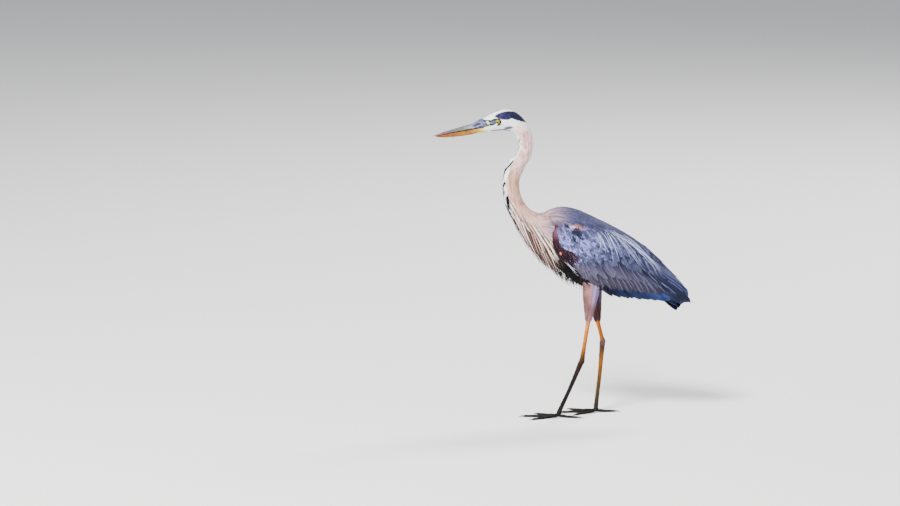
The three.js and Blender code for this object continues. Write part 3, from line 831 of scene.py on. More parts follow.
eye_glass, tree, shader = new_material("eye_glass", 0.08, 0.1)
shader.inputs["Coat Weight"].default_value = 0.3
shader.inputs["Coat Roughness"].default_value = 0.02
rings = read(tree, "ring")["Fac"]
iris = curve(
    tree, rings,
    (0.0, 0.002), (PUPIL / 10, 0.002), (PUPIL / 10 + 0.02, colour(196, 168, 0)), (0.42, colour(204, 194, 0)),
    (IRIS / 10 - 0.05, colour(196, 188, 0)), (IRIS / 10, 0.003),
)
flecks = texture(tree, "Noise", 900, detail=3)["Fac"]
fleck = curve(tree, flecks, (0.4, 0.7), (0.6, 1.0))
tree.links.new(times(tree, iris, fleck), shader.inputs["Base Color"])
lid_skin, tree, shader = new_material("lid_skin", 0.5, 0.15)
grit = texture(tree, "Noise", 700, detail=3)["Fac"]
tree.links.new(mix(tree, grit, colour(16, 15, 20), colour(38, 36, 40)), shader.inputs["Base Color"])
bump(tree, shader, grit, 0.5, 0.3)
for side, sign in SIDES.items():
    look = Vector((-0.3, sign, -0.06)).normalized()
    middle = Vector(eyes[side]) * MM
    socket = Matrix.Translation(middle) @ look.to_track_quat("Z", "Y").to_matrix().to_4x4()
    form = bmesh.new()
    bmesh.ops.create_uvsphere(form, u_segments=48, v_segments=32, radius=EYE_RADIUS * MM)
    radii = np.array([math.hypot(v.co.x, v.co.y) / MM if v.co.z > 0 else EYE_RADIUS for v in form.verts])
    bmesh.ops.transform(form, matrix=socket, verts=form.verts)
    eye = piece_of(f"eye_ball_{side}", form)
    attribute(eye, "ring", "FLOAT", radii / 10)
    finish_piece(eye, "eye", eye_glass, f"eye_{side}")

    form = bmesh.new()
    bmesh.ops.create_circle(form, segments=14, radius=1)
    bmesh.ops.rotate(form, verts=form.verts, matrix=Matrix.Rotation(math.pi / 2, 3, "X"))
    across = (LID_OUT - LID_IN) / 2
    bmesh.ops.scale(form, verts=form.verts, vec=(across * MM, 1, 1.25 * MM))
    bmesh.ops.translate(form, verts=form.verts, vec=((LID_IN + across) * MM, 0, 3.9 * MM))
    bmesh.ops.spin(form, geom=form.verts[:] + form.edges[:], cent=(0, 0, 0), axis=(0, 0, 1),
                   angle=math.tau, steps=60, use_merge=True)
    bmesh.ops.remove_doubles(form, verts=form.verts, dist=0.001 * MM)
    bmesh.ops.transform(form, matrix=socket, verts=form.verts)
    for vertex in form.verts:
        off = vertex.co - middle
        flat = math.hypot(off.x, off.z) / MM
        outer = max(0.0, (flat - LID_IN) / (LID_OUT - LID_IN))
        reach = float(lid_reach(math.atan2(off.z, off.x))) - LID_OUT
        grown = 1 + outer * reach / flat
        sunk = -sign * 0.5 * outer * reach / 2.8 * MM
        vertex.co = middle + Vector((off.x * grown, off.y + sunk, off.z * grown))
    bmesh.ops.recalc_face_normals(form, faces=form.faces)
    lid = piece_of(f"eye_lid_{side}", form)
    finish_piece(lid, "face_feathers", lid_skin)

# ---------------------------------------------------------------- feathers
# A feather is a thin closed vane with a raised shaft. Small ones have a three-sided section, and large
# ones are sheets with thickness. Each is bent to its own path over the outline, from a root that lies
# deep in the coat to a tip that lies on its surface.
UV_PATCH = 0.003
ROUNDED = 0.3  # how far a feather's shading rounds over its width


def sliver(cuts):
    """A three-sided feather of unit length and half width, closed to a point at both ends."""
    form = bmesh.new()
    bmesh.ops.create_cone(form, segments=3, radius1=1, radius2=1, depth=2, cap_ends=False)
    long = [edge for edge in form.edges if abs(edge.verts[0].co.z - edge.verts[1].co.z) > 1]
    bmesh.ops.subdivide_edges(form, edges=long, cuts=cuts)
    for end in (-1, 1):
        tip = [vertex for vertex in form.verts if abs(vertex.co.z - end) < 0.01]
        middle = sum((vertex.co for vertex in tip), Vector()) / 3
        bmesh.ops.pointmerge(form, verts=tip, merge_co=middle)
    points, faces = arrays_of(form)
    return {
        "along": (points[:, 2] + 1) / 2,
        "across": points[:, 0] / math.cos(math.pi / 6),
        "top": np.where(points[:, 1] > 0.6, 1.0, 0.0),
        "faces": faces,
        "double": False,
    }


def sheet(wide, long):
    """A flat feather of unit length and half width, with a top and an underside."""
    form = bmesh.new()
    bmesh.ops.create_grid(form, x_segments=wide, y_segments=long, size=1)
    bmesh.ops.solidify(form, geom=form.faces[:], thickness=1)
    bmesh.ops.recalc_face_normals(form, faces=form.faces)
    points, faces = arrays_of(form)
    top = (points[:, 2] - points[:, 2].min()) / np.ptp(points[:, 2])
    return {"along": (points[:, 1] + 1) / 2, "across": -points[:, 0], "top": top,
            "faces": faces, "double": True}


def arrays_of(form):
    bmesh.ops.triangulate(form, faces=form.faces)
    form.verts.index_update()
    points = np.array([vertex.co[:] for vertex in form.verts])
    faces = np.array([[vertex.index for vertex in face.verts] for face in form.faces])
    form.free()
    return points, faces


def rounded(u):
    """Width of a covert: wide from a third of its length, with a round end."""
    end = np.clip((u - 0.62) / 0.38, 0, 1)
    return np.minimum(0.4 + 1.9 * u, 1) * np.sqrt(np.clip(1 - end**2.2, 0.0, 1))


def pointed(u):
    """Width of a lance-shaped feather: widest at a third, running to a point."""
    return np.minimum(0.45 + 1.7 * u, 1) * (1 - np.clip((u - 0.3) / 0.7, 0, 1) ** 1.6)


def at_share(values, share):
    """Values given at even steps along each path, read at one share of its length for each vertex."""
    last = values.shape[1] - 1
    index = np.minimum((share * last).astype(int), last - 1)
    part = (share * last - index)[None, :, None]
    return values[:, index] * (1 - part) + values[:, index + 1] * part


def unit(vectors):
    return vectors / np.maximum(np.linalg.norm(vectors, axis=-1, keepdims=True), 1e-9)


def dress(form, paths, ups, width, base, edge, shape=rounded, sink=3.0, lift=0.6, thick=0.5,
          camber=0.0, roll=0.0, spread=None, one_sided=0, tip_base=None, seed=1):
    """Lays one feather on each path. Sink and lift are its root's depth and its tip's height. Roll raises
    one edge over the next feather, camber crowns it, and one_sided keeps the margin off one edge. The
    base colour turns to tip_base towards the tip. Spread is where each root lies on the unwrapped skin:
    how far along the body and how far round it, unless it is given."""
    count = len(paths)
    chance = np.random.default_rng(seed)
    along, across, top = form["along"], form["across"], form["top"]
    centre, up = at_share(paths, along), unit(at_share(ups, along))
    forward = unit(at_share(np.gradient(paths, axis=1), along))
    sideways = unit(np.cross(up, forward))
    under = -1 if form["double"] else 1
    half = np.broadcast_to(np.asarray(width, float) / 2, (count,))[:, None]
    reach = half * shape(along)[None, :] * across[None, :]
    rise = -sink + (lift + sink) * along[None, :] ** 0.7 * np.ones((count, 1))
    rise = rise + chance.normal(0, 0.12, (count, 1)) * along[None, :]
    body = top * thick * (1 - 0.6 * along) * np.ones(len(along))
    crown = camber * half * (1 - across[None, :] ** 2)
    tilt = reach * np.sin(roll)
    points = centre + sideways * reach[..., None] + up * (rise + body + crown + tilt)[..., None]
    if spread is None:
        run_at, turned = place(paths[:, 0])[1:]
        spread = np.column_stack([run_at / LINE_LENGTH, np.sign(paths[:, 0, Y]) * turned])
    vane = np.empty((count, len(along), 3))
    margin_side = np.where(across * one_sided < 0, 0.72, 1)
    vane[..., 0], vane[..., 1] = along, np.abs(across) * margin_side
    vane[..., 2] = chance.random((count, 1))
    patch = np.stack([across / 2, along - 0.5], -1)[None] * UV_PATCH * np.ones((count, 1, 1))
    coat = np.repeat(base, len(along), 0)
    if tip_base is not None:
        ends = np.repeat(np.broadcast_to(tip_base, (count, 3)), len(along), 0)
        coat = coat + (ends - coat) * np.tile(along**2, count)[:, None]
    return {
        "points": points.reshape(-1, 3),
        "faces": (form["faces"][None] + len(along) * np.arange(count)[:, None, None]).reshape(-1, 3),
        "normal": unit(
            up * np.where(top > 0, 1, under)[None, :, None] + ROUNDED * sideways * across[None, :, None]
        ).reshape(-1, 3),
        "coat": coat,
        "edge": np.repeat(edge, len(along), 0),
        "vane": vane.reshape(-1, 3),
        "patch": patch.reshape(-1, 2),
        "spread": np.repeat(spread, len(along), 0),
    }


def coat_piece(name, slot, material, *laid, replaces=()):
    """One piece of the coat from feathers laid in arrays, with its markings and its OFBake map."""
    start, faces = 0, []
    for part in laid:
        faces.append(part["faces"] + start)
        start += len(part["points"])
    faces = np.vstack(faces)
    both = {key: np.vstack([part[key] for part in laid]) for key in laid[0] if key != "faces"}
    mesh = bpy.data.meshes.new(name)
    mesh.vertices.add(start)
    mesh.vertices.foreach_set("co", (both["points"] * MM).ravel())
    mesh.loops.add(len(faces) * 3)
    mesh.loops.foreach_set("vertex_index", faces.ravel())
    mesh.polygons.add(len(faces))
    mesh.polygons.foreach_set("loop_start", np.arange(0, len(faces) * 3, 3))
    mesh.update(calc_edges=True)
    mesh.validate()
    piece = bpy.data.objects.new(name, mesh)
    bpy.context.scene.collection.objects.link(piece)
    mesh.shade_smooth()
    mesh.normals_split_custom_set_from_vertices(both["normal"].astype(np.float32))
    attribute(piece, "coat", "FLOAT_COLOR", both["coat"])
    attribute(piece, "edge", "FLOAT_COLOR", both["edge"])
    attribute(piece, "vane", "FLOAT_VECTOR", both["vane"])
    low, high = both["spread"].min(0), both["spread"].max(0)
    spots = 0.01 + 0.98 * (both["spread"] - low) / np.maximum(high - low, 1e-6) + both["patch"]
    unwrap = mesh.uv_layers.new(name="OFBake")
    unwrap.uv.foreach_set("vector", spots[faces.ravel()].astype(np.float32).ravel())
    finish_piece(piece, slot, material, *replaces)


# The markings of a vane, used by every plumage: a paler or darker margin, a dark shaft, and barbs that
# run out from the shaft towards the tip.
vane_marks = bpy.data.node_groups.new("vane_marks", "ShaderNodeTree")
sockets = vane_marks.interface
for name, kind in (("Coat", "Color"), ("Edge", "Color"), ("Vane", "Vector"), ("Margin", "Float"),
                   ("Tip", "Float"), ("Shaft", "Float"), ("Barbs", "Float"), ("Fading", "Float")):
    sockets.new_socket(name, in_out="INPUT", socket_type=f"NodeSocket{kind}")
sockets.new_socket("Color", in_out="OUTPUT", socket_type="NodeSocketColor")
sockets.new_socket("Height", in_out="OUTPUT", socket_type="NodeSocketFloat")
tree = vane_marks
given, out = tree.nodes.new("NodeGroupInput").outputs, tree.nodes.new("NodeGroupOutput")


def sums(tree, operation, *values):
    """A Math node; each value is a socket or a number."""
    node = tree.nodes.new("ShaderNodeMath")
    node.operation = operation
    for socket, value in zip(node.inputs, values):
        feed(tree, socket, value)
    return node.outputs[0]


def between(tree, value, low, high):
    """0 at low and 1 at high, smooth between."""
    node = tree.nodes.new("ShaderNodeMapRange")
    node.interpolation_type = "SMOOTHSTEP"
    for name, end in (("Value", value), ("From Min", low), ("From Max", high)):
        feed(tree, node.inputs[name], end)
    return node.outputs[0]


axes = tree.nodes.new("ShaderNodeSeparateXYZ")
tree.links.new(given["Vane"], axes.inputs[0])
along_vane, across_vane, own = axes.outputs
inner = sums(tree, "SUBTRACT", 1.0, given["Margin"])
margin = between(tree, across_vane, inner, sums(tree, "ADD", inner, 0.12))
inner_tip = sums(tree, "SUBTRACT", 1.0, sums(tree, "MULTIPLY", given["Margin"], 0.15))
tip = between(tree, along_vane, sums(tree, "SUBTRACT", inner_tip, 0.06), inner_tip)
outward = between(tree, along_vane, 0.15, 0.6)
margin = sums(tree, "MULTIPLY", margin, outward)
rim = sums(tree, "MAXIMUM", margin, sums(tree, "MULTIPLY", tip, given["Tip"]))
slant = sums(tree, "MULTIPLY_ADD", along_vane, 34.0, sums(tree, "MULTIPLY", across_vane, -9.0))
line_up = tree.nodes.new("ShaderNodeCombineXYZ")
tree.links.new(slant, line_up.inputs[0])
tree.links.new(sums(tree, "MULTIPLY", own, 97.0), line_up.inputs[1])
barb = texture(tree, "Noise", 1.0, line_up.outputs[0], detail=3)["Fac"]
tone = between(tree, barb, 0.25, 0.75)
depth_of_barbs = sums(tree, "MULTIPLY", sums(tree, "SUBTRACT", tone, 0.5), given["Barbs"])
shade_own = sums(tree, "MULTIPLY", sums(tree, "SUBTRACT", own, 0.5), given["Fading"])
gain = sums(tree, "ADD", 1.0, sums(tree, "ADD", depth_of_barbs, shade_own))
shaft = between(tree, across_vane, 0.14, 0.04)
shaft = sums(tree, "MULTIPLY", shaft, given["Shaft"])
vane_shade = mix(tree, rim, given["Coat"], given["Edge"])
vane_shade = mix(tree, shaft, vane_shade, (0.012, 0.011, 0.014))
grey = tree.nodes.new("ShaderNodeCombineColor")
for socket in grey.inputs[:3]:
    tree.links.new(gain, socket)
tree.links.new(times(tree, vane_shade, grey.outputs[0]), out.inputs["Color"])
tree.links.new(sums(tree, "ADD", tone, sums(tree, "MULTIPLY", shaft, 2.0)), out.inputs["Height"])


def plumage(name, roughness, margin, shaft, barbs, fading, relief=0.3, tip=0.5):
    """A feather material, with its own margin, shaft, barbs and fading from feather to feather."""
    material, tree, shader = new_material(name, roughness, 0.08)
    marks = tree.nodes.new("ShaderNodeGroup")
    marks.node_tree = vane_marks
    for socket, value in (("Margin", margin), ("Tip", tip), ("Shaft", shaft), ("Barbs", barbs),
                          ("Fading", fading)):
        marks.inputs[socket].default_value = value
    tree.links.new(read(tree, "coat")["Color"], marks.inputs["Coat"])
    tree.links.new(read(tree, "edge")["Color"], marks.inputs["Edge"])
    tree.links.new(read(tree, "vane")["Vector"], marks.inputs["Vane"])
    tree.links.new(marks.outputs["Color"], shader.inputs["Base Color"])
    bump(tree, shader, marks.outputs["Height"], relief, 0.25)
    return material


def scatter(surface, wanted, spacing, seed):
    """Even random places on a form. Wanted says, for an array of its points, which of them may bear one,
    and spacing how far apart they lie, as one distance or also for an array of points."""
    chance = np.random.default_rng(seed)
    a, b, c = (surface.points[surface.faces[:, k]] for k in range(3))
    middles = (a + b + c) / 3
    faces = np.nonzero(wanted(middles))[0]
    a, b, c = a[faces], b[faces], c[faces]
    area = np.linalg.norm(np.cross(b - a, c - a), axis=1) / 2
    closest = spacing(middles[faces]) if callable(spacing) else np.full(len(faces), spacing)
    odds = area / closest**2
    tries = int(odds.sum() * 4.5)
    chosen = chance.choice(len(faces), tries, p=odds / odds.sum())
    p, q = chance.random((2, tries, 1))
    flip = p + q > 1
    p, q = np.where(flip, 1 - p, p), np.where(flip, 1 - q, q)
    places = a[chosen] + (b - a)[chosen] * p + (c - a)[chosen] * q
    closest = closest[chosen]
    cell = float(closest.max())
    taken, kept = {}, []
    for index, (key, gap) in enumerate(zip((places // cell).astype(int).tolist(), closest.tolist())):
        around = [
            other
            for i in (-1, 0, 1) for j in (-1, 0, 1) for k in (-1, 0, 1)
            for other in taken.get((key[0] + i, key[1] + j, key[2] + k), ())
        ]
        if around and ((places[around] - places[index]) ** 2).sum(1).min() < gap * gap:
            continue
        taken.setdefault(tuple(key), []).append(index)
        kept.append(index)
    return places[kept]


def flow_back(points):
    """From the bill to the tail, along the line of the body."""
    step = place(points)[0]
    return np.column_stack([heading[step, 0], np.zeros(len(points)), heading[step, 1]])


def creep(surface, roots, lengths, steps, flow, yaw, seed):
    """Paths over a form from some roots, with the form's normals along them. They follow a flow that each
    feather turns a little from."""
    chance = np.random.default_rng(seed)
    turns = chance.normal(0, yaw, len(roots))[:, None]
    here, up = surface.onto(roots)
    paths, ups = [here], [up]
    for _ in range(steps - 1):
        ahead = flow(here)
        ahead = unit(ahead - up * (ahead * up).sum(1)[:, None])
        ahead = ahead * np.cos(turns) + np.cross(up, ahead) * np.sin(turns)
        here, up = surface.onto(here + ahead * (lengths / (steps - 1))[:, None])
        paths.append(here)
        ups.append(up)
    return np.stack(paths, 1), np.stack(ups, 1)


# ---------------------------------------------------------------- the coat of head and neck
# Short close feathers, smallest round the eye and the bill's root, longer and narrower down the neck.
# They carry the black crown bands, the grey throat and the black dashes down the front of the neck.
def spacing_on_head(points):
    eye_far = np.minimum(*(np.linalg.norm(points - eyes[side], axis=1) for side in SIDES))
    return np.interp(eye_far, [9, 30, 70], [0.95, 1.2, 1.65])


def on_head(points):
    names = owners(points)
    x, y, z = points.T
    front = np.interp(z, [806, 826, 834, 838, 848, 851, 854], [-210, -207, -204, -204, -204, -221, -229])
    front = np.where((np.abs(y) < 6) & (z < 826), -217, front) + 0.9 * np.sin(2.3 * z)
    on_it = part_of(names, "head", "bill_upper", "bill_lower")
    feathered = (lores(x, z) < 0.5) | (x > -206) & (z < 826)
    return on_it & (x > front) & (past_lid(points) > -0.6) & feathered


def small_feathers(roots, length, wide, steps, seed, flow=flow_back, **how):
    """Pointed feathers on scattered roots, in the colours of the markings where they show."""
    chance = np.random.default_rng(seed)
    lengths = length * chance.uniform(0.85, 1.15, len(roots))
    paths, ups = creep(outline, roots, lengths, steps, flow, 0.1, seed)
    seen = paths[:, round(steps * 0.7)]
    base = markings(seen, owners(seen)) * chance.uniform(0.93, 1.05, (len(roots), 1))
    return dress(sliver(steps - 2), paths, ups, wide, base, base, pointed, seed=seed, **how)


face_plumage = plumage("face_plumage", 0.8, 0.2, 0.0, 0.12, 0.1)
head_roots = scatter(outline, on_head, spacing_on_head, 11)
grown = spacing_on_head(head_roots) / 0.95
head_laid = small_feathers(head_roots, 4.4 * grown, 1.5 * grown, 4, 12, sink=0.55, lift=0.2, thick=0.16)
coat_piece("coat_head", "face_feathers", face_plumage, head_laid)

neck_plumage = plumage("neck_plumage", 0.82, 0.25, 0.1, 0.14, 0.14)
neck_roots = scatter(outline, lambda at: part_of(owners(at), "neck"), 1.8, 21)
grown = np.interp(place(neck_roots)[1], [70, 200, 400], [0.8, 1.0, 1.5])
neck_laid = small_feathers(neck_roots, 12 * grown, 2.6 * grown, 5, 22, sink=1.1, lift=0.35, thick=0.22)
coat_piece("coat_neck", "neck_feathers", neck_plumage, neck_laid)

# ---------------------------------------------------------------- the coat of breast, back and belly
# Longer feathers with pale shafts and edges. Those of the breast's sides run down and back in fine
# streaks, those of the upper back lie close and grey, and the belly's are black with white streaks.
BREAST_PALE = colour(226, 212, 206)


def on_breast(points):
    front = part_of(owners(points), "trunk", "mantle", "breast") & (points[:, X] < 34)
    return front & (belly_at(points, place(points)[2]) < 0.5)


def on_belly(points):
    x, z = points[:, X], points[:, Z]
    names, turned = owners(points), place(points)[2]
    before_wing = part_of(names, "wing") & (z < np.interp(x, [12, 31, 64, 92], [468, 450, 408, 372]))
    body = part_of(names, "trunk", "tail") & (turned > 0.5) | before_wing & (x < 92)
    return body & (belly_at(points, turned) > 0.5) & (x < 235)


def on_back(points):
    x, y, z = points.T
    names = owners(points)
    rump = part_of(names, "mantle", "tail") & (np.abs(y) < 24) & (x < 338) & (z > 322)
    return part_of(names, "mantle") & (x > -30) & (x < 262) | rump & (x > 250)


breast_plumage = plumage("breast_plumage", 0.8, 0.34, 0.0, 0.16, 0.2)
breast_roots = scatter(outline, on_breast, 2.6, 31)
chance = np.random.default_rng(32)


def flow_breast(points):
    """Back along the body, and down along the lines of the breast's sides."""
    ahead = flow_back(points)
    zone = streak_zone(points, place(points)[1])[0][:, None]
    return unit(ahead + (np.array([0.52, 0, -0.855]) - ahead) * zone)


lengths = np.interp(place(breast_roots)[2], [0.2, 0.6], [17, 34])
lengths *= chance.uniform(0.85, 1.15, len(breast_roots))
paths, ups = creep(outline, breast_roots, lengths, 5, flow_breast, 0.06, 33)
base = markings(paths[:, 3], owners(paths[:, 3])) * chance.uniform(0.88, 1.06, (len(paths), 1))
edge = base + (BREAST_PALE - base) * 0.2 * chance.random((len(paths), 1))
breast_laid = dress(sliver(4), paths, ups, 4.1, base, edge, pointed, sink=1.8, lift=0.5, thick=0.35,
                    seed=34)
coat_piece("coat_breast", "breast_plumes", breast_plumage, breast_laid)

WRIST_MARKS = [
    ((178, 160, 178), 13, [(30, 549), (62, 545)]),
    ((216, 208, 216), 6, [(26, 551), (38, 549)]),
    ((198, 172, 160), 9, [(43, 552), (54, 549)]),
    ((208, 152, 104), 5, [(47, 551), (50, 546)]),
    ((96, 66, 60), 4, [(53, 553), (64, 548)]),
    ((48, 48, 74), 19, [(42, 538), (52, 532)]),
    ((50, 49, 74), 7, [(50, 530), (57, 518)]),
    ((24, 24, 38), 7, [(32, 536), (40, 513)]),
    ((24, 24, 38), 7, [(12, 554), (24, 550)]),
    ((80, 56, 62), 4.5, [(-14, 548), (3, 553)]),
    ((214, 158, 148), 6, [(0, 476), (3, 477)]),
]  # colour, width, line in X and Z


def wrist_marks(points, coat):
    """The buff and white marks at the top of the wrist, the black ones under them, and a pink spot."""
    x, z = points[:, X], points[:, Z]
    near = (x < 80) & (z > 465) & (z < 575)
    for shade, wide, path in WRIST_MARKS:
        mark = stroke(x[near], z[near], wide, path, 2.0)[:, None] * 0.9
        coat[near] += (colour(*shade) - coat[near]) * mark
    return coat


back_plumage = plumage("back_plumage", 0.7, 0.26, 0.35, 0.22, 0.2, 0.4)
back_roots = scatter(outline, on_back, 4.4, 41)
chance = np.random.default_rng(42)
lengths = np.interp(back_roots[:, X], [-30, 100], [24, 50]) * chance.uniform(0.85, 1.15, len(back_roots))
paths, ups = creep(outline, back_roots, lengths, 6, flow_back, 0.07, 43)
inside = (back_roots[:, X] < 255) | (np.abs(paths[:, -1, Y]) < 20)
back_roots, paths, ups, lengths = back_roots[inside], paths[inside], ups[inside], lengths[inside]
base = markings(paths[:, 4], owners(paths[:, 4])) * chance.uniform(0.75, 1.2, (len(paths), 1))
base = wrist_marks(paths[:, 4], base)
edge = base + (colour(180, 178, 206) - base) * 0.22
back_laid = dress(sheet(2, 6), paths, ups, np.interp(back_roots[:, X], [-30, 60], [5, 7]), base, edge,
                  pointed, sink=2.6, lift=0.7, thick=0.4, camber=0.12, seed=44)
coat_piece("coat_back", "back_feathers", back_plumage, back_laid)

belly_plumage = plumage("belly_plumage", 0.75, 0.3, 0.2, 0.2, 0.4)
belly_roots = scatter(outline, on_belly, 4.8, 51)
chance = np.random.default_rng(52)
lengths = np.interp(belly_roots[:, X], [90, 140], [36, 20]) * chance.uniform(0.8, 1.2, len(belly_roots))
paths, ups = creep(outline, belly_roots, lengths, 7, flow_back, 0.1, 53)
inside = (belly_roots[:, X] < 90) | part_of(owners(paths[:, -1]), "trunk", "tail")
belly_roots, paths, ups = belly_roots[inside], paths[inside], ups[inside]
white = (chance.random((len(paths), 1)) < 0.07) * ramp(belly_roots[:, X], 130, 90)[:, None]
base = BELLY_BLACK * chance.uniform(0.7, 1.5, (len(paths), 1))
white = np.maximum(white, stroke(paths[:, 4, X], paths[:, 4, Z], 5, [(18, 446), (40, 424)])[:, None])
base = base + (colour(206, 204, 214) - base) * white
lift = np.interp(belly_roots[:, X], [90, 130], [0.8, -0.6])[:, None]
belly_laid = [dress(sliver(6), paths, ups, 5.0 - 3.2 * white[:, 0], base, base * 1.5, pointed, sink=3.2,
                    lift=lift, thick=0.5, seed=54)]


def on_curve(curve_points, share):
    """Points of a curve through some corners, at some shares of its length."""
    ends = np.array(curve_points, float)
    far = np.concatenate([[0], np.cumsum(np.hypot(*np.diff(ends, axis=0).T))])
    wanted = np.asarray(share) * far[-1]
    return np.column_stack([np.interp(wanted, far, column) for column in ends.T])


def bowed(roots, tips, bow, steps=9):
    """Paths in X and Z from roots to tips, bowed to one side by a share of their length."""
    t = np.linspace(0, 1, steps)[None, :, None]
    across = (tips - roots)[:, ::-1] * [1, -1]
    return roots[:, None] * (1 - t) + tips[:, None] * t + across[:, None] * bow * 4 * t * (1 - t)


def hang(surface, flat, sign, rounds=8):
    """Paths in X and Z laid on one flank of a form, with its normals, both drawn smooth."""
    laid_on = []
    for values in surface.beside(flat.reshape(-1, 2), sign):
        values = values.reshape(*flat.shape[:2], 3)
        for _ in range(rounds):
            values[:, 1:-1] = (values[:, :-2] + 2 * values[:, 1:-1] + values[:, 2:]) / 4
        laid_on.append(values)
    return laid_on


# A loose fringe hangs from the belly in front of the thighs.
FRINGE_ROOTS = [(-34, 452), (0, 428), (34, 412), (66, 400)]
FRINGE_TIPS = [(-8, 404), (14, 388), (40, 372), (66, 360)]
for side, sign in SIDES.items():
    chance = np.random.default_rng(55 + sign)
    count = 44
    share = (np.arange(count) + chance.random(count)) / count
    start = on_curve(FRINGE_ROOTS, share) + chance.normal(0, 5, (count, 2))
    end = on_curve(FRINGE_TIPS, np.clip(share + chance.normal(0, 0.04, count), 0, 1))
    flat = bowed(start, end + chance.normal(0, 4, (count, 2)), 0.06, 10)
    paths, ups = hang(outline, flat, sign)
    shades = np.array([colour(34, 31, 40), colour(58, 50, 58), colour(112, 100, 106)])
    base = shades[chance.choice(3, count, p=(0.5, 0.35, 0.15))]
    wide = chance.uniform(2.2, 4.5, count)
    belly_laid.append(dress(sliver(9), paths, ups, wide, base, base * 1.3, pointed, sink=2, lift=1.2,
                            thick=0.6, seed=56 + sign))
coat_piece("coat_belly", "belly_feathers", belly_plumage, *belly_laid)

# ---------------------------------------------------------------- the coat of the thighs
# Soft mauve feathers that run down each thigh and end in a ragged cuff above the bare shank.
thigh_plumage = plumage("thigh_plumage", 0.85, 0.3, 0.0, 0.15, 0.2)
leg_ways = {}
for side in SIDES:
    (low, high), (x_low, x_high) = LEG_LINES[side]
    leg_ways[side] = unit(np.array([x_low - x_high, 0, low - high]))


def flow_down(points):
    left = points[:, Y] < 0
    return np.where(left[:, None], leg_ways["left"], leg_ways["right"])


thigh_roots = scatter(outline, lambda at: part_of(owners(at), "thigh"), 2.5, 61)
thigh_turn = np.empty((len(thigh_roots), 2))
for side, sign in SIDES.items():
    own = thigh_roots[:, Y] * sign > 0
    axis = np.interp(thigh_roots[own, Z], *LEG_LINES[side])
    middle = corners(f"thigh_{side}")[:, Y].mean()
    thigh_turn[own, 0] = thigh_roots[own, Z] / 1000
    turn = np.arctan2(thigh_roots[own, Y] - middle, thigh_roots[own, X] - axis) / math.tau
    thigh_turn[own, 1] = turn * 0.45 + 0.25 * sign
thigh_laid = small_feathers(thigh_roots, 15, 3.0, 6, 62, flow_down, sink=2.0, lift=0.45, thick=0.3,
                            spread=thigh_turn)
coat_piece("coat_thighs", "thigh_feathers", thigh_plumage, thigh_laid)

# ---------------------------------------------------------------- the wings
# Each folded wing is rows of vanes laid like tiles: the long ones first, then shorter ones over their
# roots, up to the small coverts at the wrist. A row runs from front to back between the curve of its
# roots and the curve of its tips.
COVERT_BLUE = colour(138, 142, 176)
COVERT_PALE = colour(178, 180, 210)
COVERT_DARK = colour(94, 98, 132)
EDGE_LILAC = colour(136, 136, 166)
QUILL_SLATE = colour(76, 77, 108)
QUILL_BROWN = colour(122, 112, 124)
FLIGHT_SLATE = colour(54, 62, 92)
# FLIGHT_BLUE is partly the flight feathers' own slate-blue and partly a painted blue sheen.
FLIGHT_BLUE = colour(70, 90, 146)
CHESTNUT = colour(90, 54, 58)
CHESTNUT_DARK = colour(52, 34, 42)


def row(side, form, roots, tips, count, wide, base, edge, seed, bow=0.0, jitter=4.0, base_end=None,
        below=0.0, edged=0.4, free=False, **how):
    """A row of vanes on one flank, from front to back; a share of them have a pale edge, and free ones
    reach past the edge of the form."""
    chance = np.random.default_rng(seed)
    share = (np.arange(count) + 0.5) / count
    start, end = on_curve(roots, share), on_curve(tips, share) + chance.normal(0, jitter, (count, 2))
    flat = bowed(start, end, bow)
    held = np.stack([flat[..., 0], np.maximum(flat[..., 1], 376 if free else 0)], -1)
    paths, ups = hang(outline, held, SIDES[side])
    paths = paths - ups * below
    if free:
        paths[..., Z] += flat[..., 1] - held[..., 1]
    if base_end is not None:
        base = base + (base_end - base) * share[:, None]
    shade = base * chance.uniform(0.6, 1.35, (count, 1))
    rim = np.where(chance.random((count, 1)) < edged, edge, shade * 1.2 + (edge - shade) * 0.12)
    wide = np.interp(share, np.linspace(0, 1, len(wide)), wide)
    return dress(form, paths, ups, wide, shade, rim, seed=seed, roll=-SIDES[side] * 0.12,
                 one_sided=-SIDES[side], **how)


def tip_shades(count, front, rear):
    """Colours of the ends of a row's feathers, from the first to the last."""
    return front + (rear - front) * np.linspace(0, 1, count)[:, None] ** 3


# Roots and tips of each row, as X and Z on the flank.
SECONDARY_ROOTS = [(12, 476), (64, 472), (130, 470), (200, 452), (250, 425)]
SECONDARY_TIPS = [(34, 450), (66, 410), (100, 379), (136, 366), (166, 363), (214, 361), (262, 356),
                  (322, 360)]
GREATER_ROOTS = [(12, 484), (64, 486), (130, 486), (200, 462), (246, 440)]
GREATER_TIPS = [(40, 454), (74, 424), (114, 406), (160, 404), (214, 396), (262, 388), (304, 384)]
MEDIAN_ROOTS = [(10, 496), (60, 502), (120, 504), (180, 484), (226, 458)]
MEDIAN_TIPS = [(40, 462), (80, 452), (136, 450), (196, 438), (250, 418)]
QUILL_ROOTS = [(84, 396), (130, 392), (170, 390), (210, 386), (250, 372)]
QUILL_TIPS = [(142, 353), (182, 347), (222, 345), (262, 342), (318, 337)]
END_ROOTS = [(210, 400), (222, 420), (240, 436), (252, 446)]
END_TIPS = [(316, 330), (340, 322), (353, 325), (363, 338), (366, 352), (358, 370)]

covert_plumage = plumage("covert_plumage", 0.68, 0.26, 0.35, 0.35, 0.2, 0.4, tip=0.25)
flight_plumage = plumage("flight_plumage", 0.55, 0.22, 0.7, 0.3, 0.16, 0.45, tip=0.3)


MANTLE_EDGE = [-12, 40, 82, 136, 200], [554, 556, 545, 520, 484]
WRIST_EDGE = [(-14, 552), (-21, 530), (-22, 504), (-16, 486), (-4, 474), (12, 465), (30, 458)]


